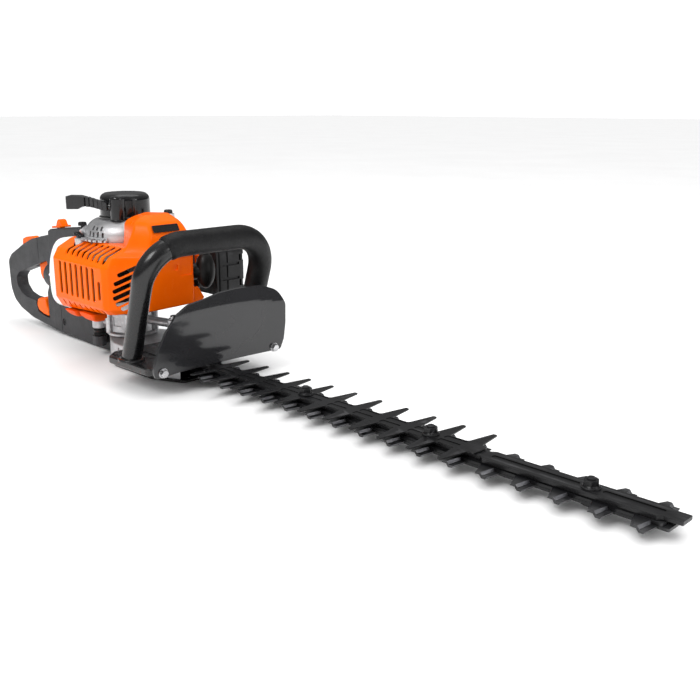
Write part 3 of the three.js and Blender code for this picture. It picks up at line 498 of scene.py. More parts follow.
surface(
    "ground_edge", (0.10, 0.10, 0.11), (0.22, 0.22, 0.23), 0.38, metal=1.0, cloud=60,
    grain=600, depth=0.3, stretch=(6, 1, 1), spread=0.08,
)
# Painted shade: the muffler's steel is near-black so it reads as the shadow seen through the cover's slots
surface(
    "muffler_painted_shade", (0.018, 0.015, 0.014), (0.05, 0.04, 0.035), 0.6, metal=0.6, cloud=60,
    grain=500, depth=0.4, spread=0.1,
)
surface(
    "tank_plastic", (0.84, 0.84, 0.82), (0.93, 0.93, 0.92), 0.40, cloud=14, grain=500,
    depth=0.10, spread=0.06, Subsurface_Weight=0.3, Subsurface_Scale=0.01,
)
surface(
    "foam_black", (0.004, 0.004, 0.0045), (0.008, 0.008, 0.0085), 0.46, cloud=70,
    grain=900, depth=0.5, pores=620, spread=0.08, specks=0.4, Specular_IOR_Level=0.26,
)
surface(
    "guard_plastic", (0.016, 0.016, 0.017), (0.022, 0.022, 0.024), 0.12, cloud=12,
    grain=160, depth=0.03, spread=0.04, Coat_Weight=0.25, Coat_Roughness=0.05,
)
surface(
    "filter_felt", (0.50, 0.42, 0.25), (0.68, 0.60, 0.40), 0.9, cloud=90, grain=1200,
    depth=0.9, pores=900, spread=0.05,
)


# ---- pieces
def piece(name, bm, look, body="chassis", nodes=(), angle=32, second=None):
    """Turns a body drawn in millimetres into a finished piece that rides on a CAD body."""
    tidy(bm, 0.005)
    bmesh.ops.recalc_face_normals(bm, faces=bm.faces[:])
    mesh = bpy.data.meshes.new(name)
    mesh.materials.append(LOOKS[look])
    if second:
        other, chosen = second
        mesh.materials.append(LOOKS[other])
        for face in bm.faces:
            face.material_index = 1 if chosen(face) else 0
    moved(bm, Matrix.Scale(MM, 4))
    bm.to_mesh(mesh)
    bm.free()
    mesh.shade_smooth()
    mesh.set_sharp_from_angle(angle=math.radians(angle))
    obj = bpy.data.objects.new(name, mesh)
    bpy.context.scene.collection.objects.link(obj)
    flat = obj.modifiers.new("even shading", "WEIGHTED_NORMAL")
    flat.keep_sharp = True
    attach(obj, body)
    if nodes:
        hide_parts(*nodes)
    return obj


def seat_of(centre, axis):
    """A point as two values across an axis and one along it."""
    x, y, z = centre
    return {"z": (x, y, z), "x": (y, z, x), "y": (x, z, y)}[axis]


def hex_head(centre, across, height, axis="z", up=1):
    """A hexagon head with the turned chamfer that real heads have."""
    r = across / math.sqrt(3)
    outline = ring_section(r, 6)
    a0, b0, base = seat_of(centre, axis)
    head = prism([(a0 + a, b0 + b) for a, b in outline], base, base + up * height, axis)
    cap = [(0, 0), (r * 1.02, 0), (r * 1.02, height * 0.8), (across / 2 * 0.97, height), (0, height)]
    crown = lathe([(a, base + up * b) for a, b in cap], 36, (a0, b0), axis)
    return meet(head, crown)


def washer(centre, r, height, axis="z", up=1):
    *middle, base = seat_of(centre, axis)
    cap = [(0, 0), (r, 0), (r, height * 0.7), (r - height * 0.3, height), (0, height)]
    return lathe([(a, base + up * b) for a, b in cap], 36, middle, axis)


def screw_head(centre, r, height, axis="z", up=1, socket=5):
    """A pan head with a hexagon or star socket."""
    a0, b0, base = seat_of(centre, axis)
    cap = [(0, 0), (r, 0), (r, height * 0.55), (r * 0.93, height * 0.82), (r * 0.8, height), (0, height)]
    head = lathe([(a, base + up * b) for a, b in cap], 28, (a0, b0), axis)
    hole = [(a0 + a, b0 + b) for a, b in ring_section(r * 0.5, socket + 1)]
    levels = sorted((base + up * height * 0.3, base + up * (height + 1)))
    return cut(head, prism(hole, *levels, axis))


def soften(node, look, width=0.35):
    """Gives a CAD node that keeps its shape a material, eased edges and smooth round faces."""
    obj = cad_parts[node]
    obj.data.materials.clear()
    obj.data.materials.append(LOOKS[look])
    bevel = obj.modifiers.new("eased edges", "BEVEL")
    bevel.width = width * MM
    bevel.segments = 2
    bevel.angle_limit = math.radians(40)
    bevel.harden_normals = False
    smooth = obj.modifiers.new("smooth round faces", "NODES")
    smooth.node_group = SMOOTHER


def smoother_group():
    """Shades a mesh smooth, except across edges sharper than 38 degrees."""
    group = bpy.data.node_groups.new("smooth by angle", "GeometryNodeTree")
    group.interface.new_socket("Geometry", in_out="INPUT", socket_type="NodeSocketGeometry")
    group.interface.new_socket("Geometry", in_out="OUTPUT", socket_type="NodeSocketGeometry")
    start = add_node(group, "NodeGroupInput")
    faces = add_node(group, "GeometryNodeSetShadeSmooth", Geometry=start.outputs[0])
    angle = add_node(group, "GeometryNodeInputMeshEdgeAngle")
    sharp = add_node(group, "FunctionNodeCompare", A=angle.outputs[0], B=math.radians(38))
    edges = add_node(group, "GeometryNodeSetShadeSmooth", Geometry=faces.outputs[0])
    edges.domain = "EDGE"
    feed(group, edges, Shade_Smooth=False, Selection=sharp.outputs[0])
    add_node(group, "NodeGroupOutput", Geometry=edges.outputs[0])
    return group


SMOOTHER = smoother_group()


# ---- blades, comb and guide bar
def tooth(centre, side, half, tip, root, end, lean, levels, inset):
    """One tooth as a tapering body: its ground flanks draw in towards the second level."""
    inner = half - 3
    rings = []
    for z, cutback in zip(levels, (0, inset)):
        plan = [
            (centre - root / 2 + cutback * 0.6, side * inner),
            (centre - root / 2 + cutback * 0.6, side * half),
            (centre - end / 2 + lean + cutback, side * tip),
            (centre + end / 2 + lean - cutback, side * tip),
            (centre + root / 2 - cutback * 0.6, side * half),
            (centre + root / 2 - cutback * 0.6, side * inner),
        ]
        rings.append([(x, y, z) for x, y in plan])
    return loft(rings)


def cutting_blade(levels, shift, edge_low):
    """A toothed blade with its yoke; the flanks are ground away from the shearing face."""
    z0, z1 = levels
    first = 700 - 15 * PITCH + shift
    nose = 716 + shift
    strip = round_box(70 + shift, nose, -STRIP_HALF, STRIP_HALF, z0, z1, 2)
    yoke = round_box(13, 78, -25, 25, z0, z1, 5)
    ground = (z0, z1) if edge_low else (z1, z0)
    teeth = [
        tooth(first + PITCH * i, side, STRIP_HALF, TOOTH_TIP, 15.5, 7.6, 2, ground, 1.9)
        for i in range(16)
        for side in (-1, 1)
    ]
    body = join(strip, yoke, *teeth)
    window = box(18.5, 71.5, -19, 19, z0 - 1, z1 + 1)
    slots = [
        round_box(x - 13, x + 13, -4.6, 4.6, z0 - 1, z1 + 1, 4.5) for x in BOLT_X
    ]
    return cut(body, window, *slots)


def flank(face):
    """Picks the ground flanks of a tooth."""
    centre = face.calc_center_median()
    return 0.15 < abs(face.normal.z) < 0.97 and abs(centre.y) > STRIP_HALF


piece(
    "upper_blade_ground", cutting_blade(UPPER_Z, 0, True), "blackened_steel", "upper_blade",
    ["upper_blade"], 20, ("ground_edge", flank),
)
piece(
    "lower_blade_ground", cutting_blade(LOWER_Z, 5, False), "blackened_steel", "lower_blade",
    ["lower_blade"], 20, ("ground_edge", flank),
)


def comb_plan():
    """The comb's outline: fingers with filleted roots and blunt rounded tips."""
    right = [(COMB_START, -10, 2)]
    for x in COMB_X:
        right += [(x - 7.5, -10, 3.5), (x - 2.2, -41, 2), (x + 2.2, -41, 2), (x + 7.5, -10, 3.5)]
    right += [(COMB_END, -10, 3), (COMB_END, 10, 3)]
    left = [(x, -y, r) for x, y, r in right[-3::-1]]
    return right + left


def comb():
    z0, z1 = COMB_Z
    plate = prism(fillet(comb_plan(), 0, 4), z0, z1)
    eased(plate, 0.45)
    ribs = [COMB_START + 8, *COMB_X, COMB_END - 6]
    grooves = []
    for a, b in zip(ribs, ribs[1:]):
        if b - a < 16:
            continue
        for side in (-1, 1):
            across = on_side(side, 1.6, 8.2)
            grooves.append(round_box(a + 6, b - 6, *across, z1 - 0.55, z1 + 1, 2.2))
    holes = [drum(4.4, 18, 22, 24, (x, 0)) for x in BOLT_X[:2]]
    dimples = [
        ball((x, side * 13.5, z1 + 0.9), (1.7, 1.7, 1.4), 12, 8) for x in COMB_X for side in (-1, 1)
    ]
    return cut(plate, *grooves, *holes, *dimples)


piece("comb_pressed", comb(), "blackened_steel", nodes=["comb_plate"], angle=28)


def guide_bar():
    z0, z1 = BAR_Z
    half = [(96, 8), (549, 8), (553, 11), (710, 11), (714, 8), (729, 8)]
    plan = [(x, -y) for x, y in half] + half[::-1]
    bar = prism(fillet(plan, 1.0), z0, z1)
    eased(bar, 0.7)
    thin = box(713, 732, -9, 9, z0 - 1, z0 + 0.8)
    groove = round_box(556, 640, -2.6, 2.6, z1 - 0.7, z1 + 1, 2.5)
    front = round_box(661, 712, -2.6, 2.6, z1 - 0.7, z1 + 1, 2.5)
    holes = [drum(4.4, 13, 21, 24, (x, 0)) for x in BOLT_X]
    return cut(bar, thin, groove, front, *holes)


piece("guide_bar_milled", guide_bar(), "blackened_steel", nodes=["guide_bar"], angle=28)


def blade_bolt(x, seat_z):
    """Carriage head below, washer and flanged nut above, with the thread standing out."""
    ring = washer((x, 0, seat_z), 8, 1.4)
    nut = hex_head((x, 0, seat_z + 1.3), 11.6, 5.7)
    low, high = seat_z + 1.3, seat_z + 2.6
    collar = spindle([(7.2, low), (6.2, high)], 32, (x, 0))
    thread = [(0, 4.6), (3.8, 4.6)]
    top = seat_z + 8.6
    z = 9
    while z < top - 1.2:
        thread += [(3.8, z), (3.4, z + 0.4), (3.8, z + 0.8)]
        z += 1.0
    thread += [(3.8, top - 0.7), (3.0, top), (0, top)]
    stub = lathe(thread, 24, (x, 0))
    head = spindle([(5.6, 4.4), (7.2, 5.2), (7.6, 6.4), (7.6, 8.8)], 32, (x, 0))
    return join(ring, nut, collar, stub, head)


for i, x in enumerate(BOLT_X):
    bolt = blade_bolt(x, (COMB_Z[1] if x < COMB_END else BAR_Z[1]) + GAP)
    piece(f"blade_bolt_{i + 1}_turned", bolt, "blackened_steel", nodes=[f"blade_bolt_{i + 1}"])


# ---- gear case and clutch housing
CASE_PLAN = [
    (-12, -26), (14, -40), (30, -45), (106, -45), (147, -28), (147, 28),
    (106, 45), (30, 45), (14, 40), (-12, 26), (-28, 14), (-28, -14),
]
CASE_SCREWS = [(-20, 0), (22, -37), (22, 37), (84, -39), (84, 39), (126, -30), (126, 30)]


def gear_case():
    shell = prism(fillet(CASE_PLAN, 8), 3.3, 29.7)
    eased(shell, 1.8, 3)
    rooms = [
        drum(41, 3, 21.5, 64, GEAR_AT),
        drum(13, 3, 21.5, 32),
        box(2, 92, -27, 27, 3, 21.5),
        box(80, 160, -29.5, 29.5, 3, 21.2),
        drum(6.5, 20, 31, 32),
        drum(6.4, 20, 26, 32, GEAR_AT),
    ]
    body = cut(shell, *rooms)
    inner = prism(fillet([(x, y * 0.965) for x, y in CASE_PLAN], 8), 4, 28)
    skin = cut(prism(fillet(CASE_PLAN, 8), 6.5, 25), inner)
    grooves = [
        meet(box(38 + 13 * i, 41 + 13 * i, -60, 60, 6.5, 25), skin.copy()) for i in range(5)
    ]
    skin.free()
    return cut(body, *grooves)


piece("gear_case_cast", gear_case(), "cast_aluminium", nodes=["gear_case"])


def gear_case_bottom():
    plate = prism(fillet(CASE_PLAN, 8), 0, 3)
    eased(plate, 0.8)
    boss = lathe([(6.4, 2.5), (10, 2.5), (10, 7.5), (6.4, 7.5)], 32, GEAR_AT)
    seats = [drum(4.6, -1, 1.2, 24, at) for at in CASE_SCREWS]
    grease = drum(7, -1, 0.8, 32, GEAR_AT)
    return cut(join(plate, boss), *seats, grease)


piece("gear_case_bottom_pressed", gear_case_bottom(), "black_paint", nodes=["gear_case_bottom_cover"])
for i, (x, y) in enumerate(CASE_SCREWS):
    piece(f"case_screw_{i + 1}", screw_head((x, y, 1.15), 4, 0.95, up=-1), "bright_steel")


def clutch_housing():
    shell = lathe(
        [
            (7, 30), (30, 30), (31, 31), (31, 33.4), (30.4, 34), (28.4, 35.4), (28, 37), (28, 57),
            (28.6, 58.6), (31, 59.6), (31, 61.2), (30.3, 62), (25, 62), (25, 34), (7, 34),
        ],
        72,
    )
    adds = []
    for side in (-1, 1):
        ear = [(7.2, 36.3), (8, 37.2), (8, 51.2), (7.2, 52)]
        adds.append(spindle(ear, 32, mount_at(side)))
        adds.append(rod(4.2, (-17, side * 17.6, 44), (*mount_at(side), 44)))
        adds.append(box(-27, -16, side * 24 - 1.6, side * 24 + 1.6, 36.5, 51))
    arm = [(24, 4, 51), (40, 8, 50), (56, 11.5, 50), (68, 14.5, 50)]
    adds.append(tube(smooth_path(arm, 4), 5.4, 20))
    adds.append(spindle([(7.3, 40), (8, 41), (8, 55), (7, 56)], 32, ARM_END))
    reach = [(*ARM_END, 46), (84, 18, 44), (96, 20.5, 42.5), (104, 22, 42)]
    adds.append(tube(smooth_path(reach, 4), 5, 20, lambda t: 1.05 - 0.18 * t))
    for degrees in (-150, -100, -40, 40, 100, 150):
        a = math.radians(degrees)
        adds.append(drum(4.4, 33.9, 59.4, 20, (29.5 * math.cos(a), 29.5 * math.sin(a))))
    inside = drum(25, 34.2, 63, 72)
    holes = [drum(2.6, 35, 53.5, 20, mount_at(side)) for side in (-1, 1)]
    slots = [
        turned(box(26.5, 32, -6, 6, 43, 54), math.radians(d)) for d in (-72, 72, 180)
    ]
    return cut(join(shell, *adds), inside, *holes, *slots)


piece("clutch_housing_cast", clutch_housing(), "cast_aluminium", nodes=["clutch_housing"])
arm_screw = join(washer((*ARM_END, 56.1), 6, 1), screw_head((*ARM_END, 57), 4.6, 3.6))
piece("clutch_arm_screw", arm_screw, "bright_steel")
for side, name in ((-1, "right"), (1, "left")):
    cushion = spindle(
        [(6.2, 26.3), (7.4, 28), (6.4, 31), (7.4, 34), (6.4, 36), (2.3, 36.2), (2.3, 46)],
        32, mount_at(side),
    )
    piece(f"mount_cushion_{name}", cushion, "rubber_black", nodes=[f"rubber_mount_{name}"])
    at = mount_at(side)
    nut = join(washer((*at, 52.1), 6.4, 1.1), hex_head((*at, 53.1), 9, 4.6))
    piece(f"mount_nut_{name}", nut, "bright_steel")


# ---- base plate and blade guard
def base_plate():
    plan = [(78, -74), (92, -90), (168, -90), (176, -80), (176, 80), (168, 90), (92, 90), (78, 74)]
    inner = [(80, -73), (93, -88), (167, -88), (174, -79), (174, 79), (167, 88), (93, 88), (80, 73)]
    tray = prism(fillet(plan, 8), 25.5, PLATE_TOP)
    eased(tray, 1.8, 3)
    hollow = prism(fillet(inner, 7), 24, PLATE_TOP - 2.2)
    room = round_box(60, 150, -46.5, 46.5, 20, 30, 4)
    mouth = box(140, 180, -46, 46, 20, 30)
    sinks = []
    for side in (-1, 1):
        across = on_side(side, 50, 66)
        sinks.append(round_box(104, 152, *across, PLATE_TOP - 0.9, PLATE_TOP + 2, 5))
        sinks.append(drum(4.2, 20, 40, 24, (FOOT_X, side * FOOT_Y)))
        sinks.append(leaned(drum(4, -5, 2, 20, (side * GUARD_BOLT_Y, GUARD_BOLT_Z), "x")))
    sinks.append(round_box(108, 160, -34, 34, PLATE_TOP - 0.8, PLATE_TOP + 2, 6))
    return cut(tray, hollow, room, mouth, *sinks)


GUARD_LEAN = 0.14
GUARD_BACK_X = 176.4


def leaned(bm):
    """Leans a body drawn with the guard's rear face at x = 0 and sets it in place."""
    turned(bm, GUARD_LEAN, "Y")
    return shift(bm, GUARD_BACK_X - 25 * math.sin(GUARD_LEAN))


piece("base_plate_pressed", base_plate(), "black_paint", nodes=["base_plate"])


def blade_guard():
    """A bent sheet: below the crease it is flat, above it the band tips back."""
    outline = [
        (-50, 27, 4), (-87, 25, 5), (-91, 34, 12), (-86, 55, 30), (-77, 75, 30), (-64, 92, 20),
        (-46, 101, 20), (-24, 104, 30), (-4, 108, 20), (24, 109.5, 30), (58, 108.5, 30),
        (80, 101, 22), (90, 86, 18), (92.5, 60, 30), (92, 40, 20), (88, 27, 5), (50, 27, 4),
    ]
    sheet = prism(fillet(outline, 3, 6), 0, 3, "x")
    for axis, places in ((Vector((0, 0, 1)), range(26, 113, 3)), (Vector((0, 1, 0)), range(-88, 93, 8))):
        for place in places:
            bmesh.ops.bisect_plane(
                sheet, geom=sheet.verts[:] + sheet.edges[:] + sheet.faces[:],
                plane_co=axis * place, plane_no=axis,
            )
    for v in sheet.verts:
        crease = 92 - (v.co.y / 92) ** 2 * 10
        over = max(v.co.z - crease, 0)
        ease = over * over / (over + 2.5) if over else 0
        v.co.x -= 0.34 * ease
        v.co.x += 0.00036 * v.co.y**2
    eased(sheet, 0.5, 2, 60)
    holes = [drum(3.4, -3, 6, 20, (s * GUARD_BOLT_Y, GUARD_BOLT_Z), "x") for s in (-1, 1)]
    return leaned(sheet), holes


guard_body, guard_holes = blade_guard()
for hole in guard_holes:
    leaned(hole)
piece("blade_guard_sheet", cut(guard_body, *guard_holes), "guard_plastic", nodes=["blade_guard"], angle=24)
for side, name in ((-1, "right"), (1, "left")):
    at = (side * GUARD_BOLT_Y, GUARD_BOLT_Z)
    bolt = join(
        washer((4.9, *at), 5.6, 1, "x"), hex_head((5.8, *at), 8, 3.6, "x"),
        drum(3, -2.4, 7, 20, at, "x"),
    )
    piece(f"guard_bolt_{name}_zinc", leaned(bolt), "bright_steel", nodes=[f"guard_bolt_{name}"])


# ---- front handle
HOOP_LEAN = 0.312


def hoop(start, end, count=96):
    """Centre line of the front handle between two stations of its length."""
    half_width, height, bend = FOOT_Y, 136, 44
    leg = height - bend
    arc = bend * math.pi / 2
    half = leg + arc + half_width - bend
    out = []
    for i in range(count + 1):
        s = (start + (end - start) * i / count) * 2 * half
        side = -1 if s < half else 1
        d = s if s < half else 2 * half - s
        y, up = half_width, d
        if d > leg:
            turn = min((d - leg) / bend, math.pi / 2)
            y = half_width - bend + bend * math.cos(turn) - max(d - leg - arc, 0)
            up = leg + bend * math.sin(turn)
        out.append((FOOT_X + HOOP_LEAN * up, side * y, PLATE_TOP + GAP + 0.95 * up))
    return out


def front_handle():
    def swell(t):
        """The tube thickens a little towards the near end of the foam."""
        near = max(0.0, 1 - abs(t - 0.31) / 0.16)
        return 1 + 0.12 * near * near * (3 - 2 * near)

    bar = tube(hoop(0.012, 0.988), 11, 32, swell)
    feet = []
    for side in (-1, 1):
        at = (FOOT_X, side * FOOT_Y)
        cap = [(15, 34.3), (15, 36), (14.4, 36.8), (12.4, 37.4), (11.6, 39)]
        feet += [spindle(cap, 40, at), drum(3.6, 27, 36, 20, at)]
    return join(bar, *feet)


piece("front_handle_tube", front_handle(), "black_paint", nodes=["front_handle"], angle=40)


def front_grip():
    """The foam sleeve: soft rolled ends and a shallow crown, hollow for the tube."""
    path = hoop(0.355, 0.88)
    last = len(path) - 1

    def crown(t):
        edge = min(t, 1 - t) * last / 2.2
        roll = math.sqrt(max(0.0, 1 - max(0.0, 1 - edge) ** 2)) if edge < 1 else 1.0
        return 0.93 + 0.07 * roll

    outer = tube(path, 13.8, 32, crown)
    ahead = Vector(path[0]) - Vector(path[1])
    behind = Vector(path[-1]) - Vector(path[-2])
    bore = [Vector(path[0]) + ahead, *path, Vector(path[-1]) + behind]
    return cut(outer, tube(bore, 12.1, 28))


foam = piece("front_handle_foam", front_grip(), "foam_black", nodes=["front_handle_grip"], angle=50)


# ---- engine cover
COVER_WALL = 1.8
SCREW_LUGS = [(54.5, -2.0, 152), (54.5, 2.2, 152)]  # radius, angle and seat height
LUG_AT = (47, 30)  # the tall lug beside the hump
SCREW_ROOM = [(r * math.cos(a), r * math.sin(a)) for r, a, _ in SCREW_LUGS] + [LUG_AT]


def cover_body(t=0.0):
    """The cover's main shell, inset by the wall thickness for its inside."""
    open_side = 9 if t else 0  # the inside runs out through the engine's side

    def at(z, out, climb=0):
        return [
            (-56 + t, -62 + t + out * 0.8, z), (-51 + t, -73.5 + t + out, z),
            (64, -76 + t + out, z + climb * 6.5), (72 - t * 0.6, -72 + t + out * 0.8, z + climb * 7.5),
            (101 - t, -38 + t * 0.6 + out * 0.2, z + climb * 11.5), (101 - t, 24, z + climb * 13),
            (97 - t * 0.6, 28 - t, z + climb * 13), (66 - open_side, 28 - t, z + climb * 11),
            (66 - open_side, -18 + open_side, z + climb * 7), (-56 + t, -18 + open_side, z),
        ]

    bottom = at(63, 10, 1) if t else at(66, 8, 1)
    return loft([bottom, at(80, 0), at(128, 0), at(140, 7), at(150 - t, 27)])


# height and outline of each step of the hump, from the rear right corner round by the front
HUMP = [
    (118, ((40, -42), (49, -60), (72, -66), (98.6, -38), (98.6, 20), (94, 25), (66, 25), (62, 20))),
    (132, ((39.5, -38), (46, -54), (74.5, -64), (100.6, -37), (100.6, 23), (96, 27.5), (65, 27.5), (61, 23))),
    (142, ((39, -32), (45, -40), (76, -58), (101.1, -36), (101.1, 22), (96, 27), (64, 27), (60, 23))),
    (152, (
        (38, -28), (44, -32), (78, -50), (100.6, -33),
        (100.8, 20), (95.5, 25.5), (62.5, 26.5), (58.5, 22),
    )),
    (165, (
        (37.5, -26.5), (43, -29.5), (80, -43), (98.6, -31),
        (99, 18), (94, 23), (62.5, 24.5), (58.5, 19.5),
    )),
    (175, ((38, -25), (44, -28), (80, -39), (93, -28), (93.5, 15), (89.5, 18.5), (63, 21), (59, 16))),
    (181, ((43, -16), (50, -22), (79.5, -34), (87, -23), (87.5, 10), (84, 13.5), (65.5, 17), (61.5, 12))),
    (185.5, ((52, -4), (57, -12), (78, -25), (82, -15), (82, 5), (80, 8), (69, 10), (66, 6))),
]


def shrunk(points, t):
    """An outline drawn in by t on every side."""
    out = []
    for i, point in enumerate(points):
        here, back, on = Vector(point), Vector(points[i - 1]), Vector(points[(i + 1) % len(points)])
        before, after = (here - back).normalized(), (on - here).normalized()
        a, b = Vector((-before.y, before.x)), Vector((-after.y, after.x))
        out.append(here + (a + b) * (t / (1 + a.dot(b))))
    return out


def cover_hump(t=0.0):
    """The raised housing over the cylinder: rounded outlines joined by a smooth curve."""
    rings = [fillet(shrunk(points, t), 5.5, 5) for _, points in HUMP]
    columns = [
        smooth_path([(p.x, p.y, z - t) for (z, _), p in zip(HUMP, column)], 4)
        for column in zip(*rings)
    ]
    return loft(list(zip(*columns)))


def stadium(width, length):
    """A slot outline with round ends, along its second axis."""
    return fillet(rect(-width / 2, width / 2, -length / 2, length / 2), width / 2 - 0.01, 4)


def cover_slots():
    tools = []
    for i in range(8):
        x, roof_x = -34 + 13 * i, -24 + 12.3 * i
        z0, z1 = (86, 126) if i < 7 else (90, 112)
        side = [(x + a, (z0 + z1) / 2 + b) for a, b in stadium(5.8, z1 - z0)]
        tools.append(prism(side, -92, -64, "y"))
        reach = 3 + 0.5 * i
        path = [
            (roof_x - 0.5, -82, 129), (roof_x, -76, 134), (roof_x + reach * 0.35, -68.5, 139.5),
            (roof_x + reach * 0.7, -60, 144.5), (roof_x + reach * 1.1, -51, 149),
        ]
        tools.append(sweep(smooth_path(path, 4), stadium(6.2, 8.5)))
        tools.append(prism([(x + a, 74.6 + b) for a, b in stadium(3.6, 7.4)], -80, -60, "y"))
    facing = math.atan2(72 - 38, 101 - 72)  # direction of the slanted corner face
    for i, reach in enumerate((13, 18, 20, 20, 17, 11)):
        bar = prism([(b, a) for a, b in stadium(4.9, 2 * reach)], -12, 12, "y")
        turned(bar, -0.42, "Y")
        turned(bar, facing, "Z")
        tools.append(shift(bar, 86.5, -55, 125 - 8 * i))
    return tools


def below_skin(body, depth):
    """Picks the faces that lie deeper than this under a body's skin."""
    skin = BVHTree.FromBMesh(body)
    return lambda face: skin.find_nearest(face.calc_center_median())[3] > depth


def engine_cover():
    body = eased(cover_body(), 5.5, 4, 20)
    flange = eased(prism([(22, 97), (32, 98), (41, 84), (38, 80), (22, 78)], 95.5, 99, "x"), 0.8)
    outer = join(body, cover_hump(), flange)
    # faces deeper than this under the skin get the near-black painted shade
    inside = below_skin(outer, 0.8 * COVER_WALL)
    rear_wall = drum(53, 150, 190, 80)
    inner = join(cover_body(COVER_WALL), cut(cover_hump(COVER_WALL), rear_wall))
    tools = [inner, box(30, 57.5, -18, 30, 116, 150)]
    tools.append(drum(50.5, 100, 190, 96))
    for x, y in SCREW_ROOM:
        tools.append(drum(9, 120, 190, 32, (x, y)))
    plug = [along(*PLUG_WAY, t) for t in (0, 1.8)]
    tools.append(rod(14, *plug, 40))
    tools.append(round_box(-3, 3, 121.5, 128, 99.6, 105, 1.5, "x"))
    tools.append(round_box(5.5, 23.5, 114, 137, 99.9, 105, 2.5, "x"))
    return cut(outer, *tools, *cover_slots()), inside


# The cover's inner faces take near-black painted shade as their second material.
cover, cover_shade_faces = engine_cover()
piece(
    "engine_cover_moulded", cover, "orange_plastic", nodes=["engine_cover"], angle=26,
    second=("painted_shade_inside", cover_shade_faces),
)


def on_slope(bm):
    """Places a plate drawn flat at the origin on the hump's front slope."""
    turned(bm, 1.05, "X")
    turned(bm, math.pi / 2, "Z")
    return shift(bm, 97.3, -9, 170.8)


badge = round_box(-17.5, 17.5, -4.5, 4.5, 0, 1, 1.2)
eased(badge, 0.3)
rim_cut = round_box(-16.4, 16.4, -3.5, 3.5, 0.75, 2, 0.8)
piece("cover_badge_blank", on_slope(cut(badge, rim_cut)), "black_gloss_plastic", nodes=["cover_badge"])


def muffler_guard():
    """Two scoops that hang under the cover, joined by a strip behind them."""

    def scoop(x0, x1, top):
        steps = [
            (58.4, 12, 6.5), (58.8, 9.5, 4.6), (60.4, 6, 2.8), (62.8, 2.6, 1.2), (64.6, 0.8, 0.3),
            (top, 0, 0),
        ]
        rings = []
        for z, draw, side in steps:
            plan = fillet(rect(x0 + draw, x1 - draw * 0.3, -71.5 + side, -52 - side * 0.4), 3.4, 4)
            rings.append([(x, y, z) for x, y in plan])
        return loft(rings)

    return join(scoop(-36, -9, 65.7), scoop(-1, 32, 67.5), box(-36, 32, -56, -53, 62, 65.7))


# The scoops take the darker orange as painted shade.
piece("muffler_guard_moulded", muffler_guard(), "orange_painted_shade", nodes=["muffler_guard"])


# ---- starter housing, recoil and grip
STARTER_BORE = 46.5
STUD_PLACES = [(-27, -44, 163, 166), (-36, -46, 150, 153)]  # black studs: place and top


def starter_cover():
    shell = lathe(
        [
            (STARTER_BORE, 128), (49, 128), (49, 157), (48.4, 160.5), (46.5, 165.2), (43.6, 169), (40, 172),
            (36.6, 173.8), (34.5, 174.4), (12, 174.4), (12, 171.6), (34, 171.6), (39, 169.6),
            (44, 164.6), (STARTER_BORE, 157),
        ],
        88,
    )
    bore = drum(STARTER_BORE, 120, 157, 88)
    ears, drills = [], []
    for r, angle, top in SCREW_LUGS:
        at = (r * math.cos(angle), r * math.sin(angle))
        profile = [(7.5, top - 14), (7.5, top - 0.8), (6.7, top)]
        ears.append(cut(spindle(profile, 32, at), bore.copy()))
        drills.append(drum(2.6, top - 9, top + 1, 20, at))
    lug = spindle([(7.5, 150), (7.5, 180.2), (6.7, 181)], 32, LUG_AT)
    ears.append(join(lug, rod(6.5, (40, 25.5, 162), (*LUG_AT, 162))))
    drills.append(drum(2.6, 176, 184, 20, LUG_AT))
    for x, y, z, top in STUD_PLACES:
        base = along((0, 0, z - 6), (x, y, z - 6), 0.9)
        ears.append(cut(rod(6, base, (x, y, top - 2.6)), bore.copy()))
    bore.free()

    def sector(inner, outer, first, last, z0, z1):
        """A curved block between two radii and two angles in degrees."""
        steps = [math.radians(first + (last - first) * i / 16) for i in range(17)]
        near = [(inner * math.cos(a), inner * math.sin(a)) for a in steps]
        far = [(outer * math.cos(a), outer * math.sin(a)) for a in reversed(steps)]
        return prism(near + far, z0, z1)

    ledge = eased(sector(47, 55.5, -124, -58, 150.4, 153.2), 0.8)
    rim = eased(sector(46, 50.6, -124, -58, 150.4, 156), 0.8)
    vents = []
    for row, (low, high, first) in enumerate(((147, 154, -96), (155.5, 162, -92), (163, 168, -87))):
        for i in range(5 - row):
            hole = box(38, 60, -1.5, 1.5, low, high - 0.9 * (i % 2))
            vents.append(turned(eased(hole, 0.8), math.radians(first + 8.5 * i)))
    for angle in range(60, 117, 8):
        slot = sweep([(38, 0, 176), (52, 0, 156)], stadium(3, 9))
        vents.append(turned(slot, math.radians(angle)))
    lead = rod(4.5, (28, 33, 146), (44, 50, 146))
    hollow = [(STARTER_BORE, 127), (STARTER_BORE, 157), (44, 164.6), (39, 169.6), (34, 171.6)]
    inside = spindle(hollow, 88)
    return cut(join(shell, cut(join(ledge, rim), inside), *ears), *drills, *vents, lead)


piece("starter_housing_cast", starter_cover(), "cast_aluminium", nodes=["starter_cover"], angle=30)
for i, (r, angle, top) in enumerate(SCREW_LUGS):
    x, y = r * math.cos(angle), r * math.sin(angle)
    shank = drum(2.2, top - 8, top + 1, 20, (x, y))
    head = join(screw_head((x, y, top + 0.3), 4.4, 3.7), shank)
    piece(f"starter_screw_{i + 1}_black", head, "blackened_steel", nodes=[f"starter_cover_screw_{i + 1}"])

for i, (x, y, top) in enumerate([(*LUG_AT, 181.1)] + [(x, y, top) for x, y, _, top in STUD_PLACES]):
    head = join(screw_head((x, y, top), 5.2, 4.2), rod(2.2, (x, y, top - 6.5), (x, y, top + 1)))
    piece(f"housing_screw_{i + 1}_black", head, "blackened_steel")

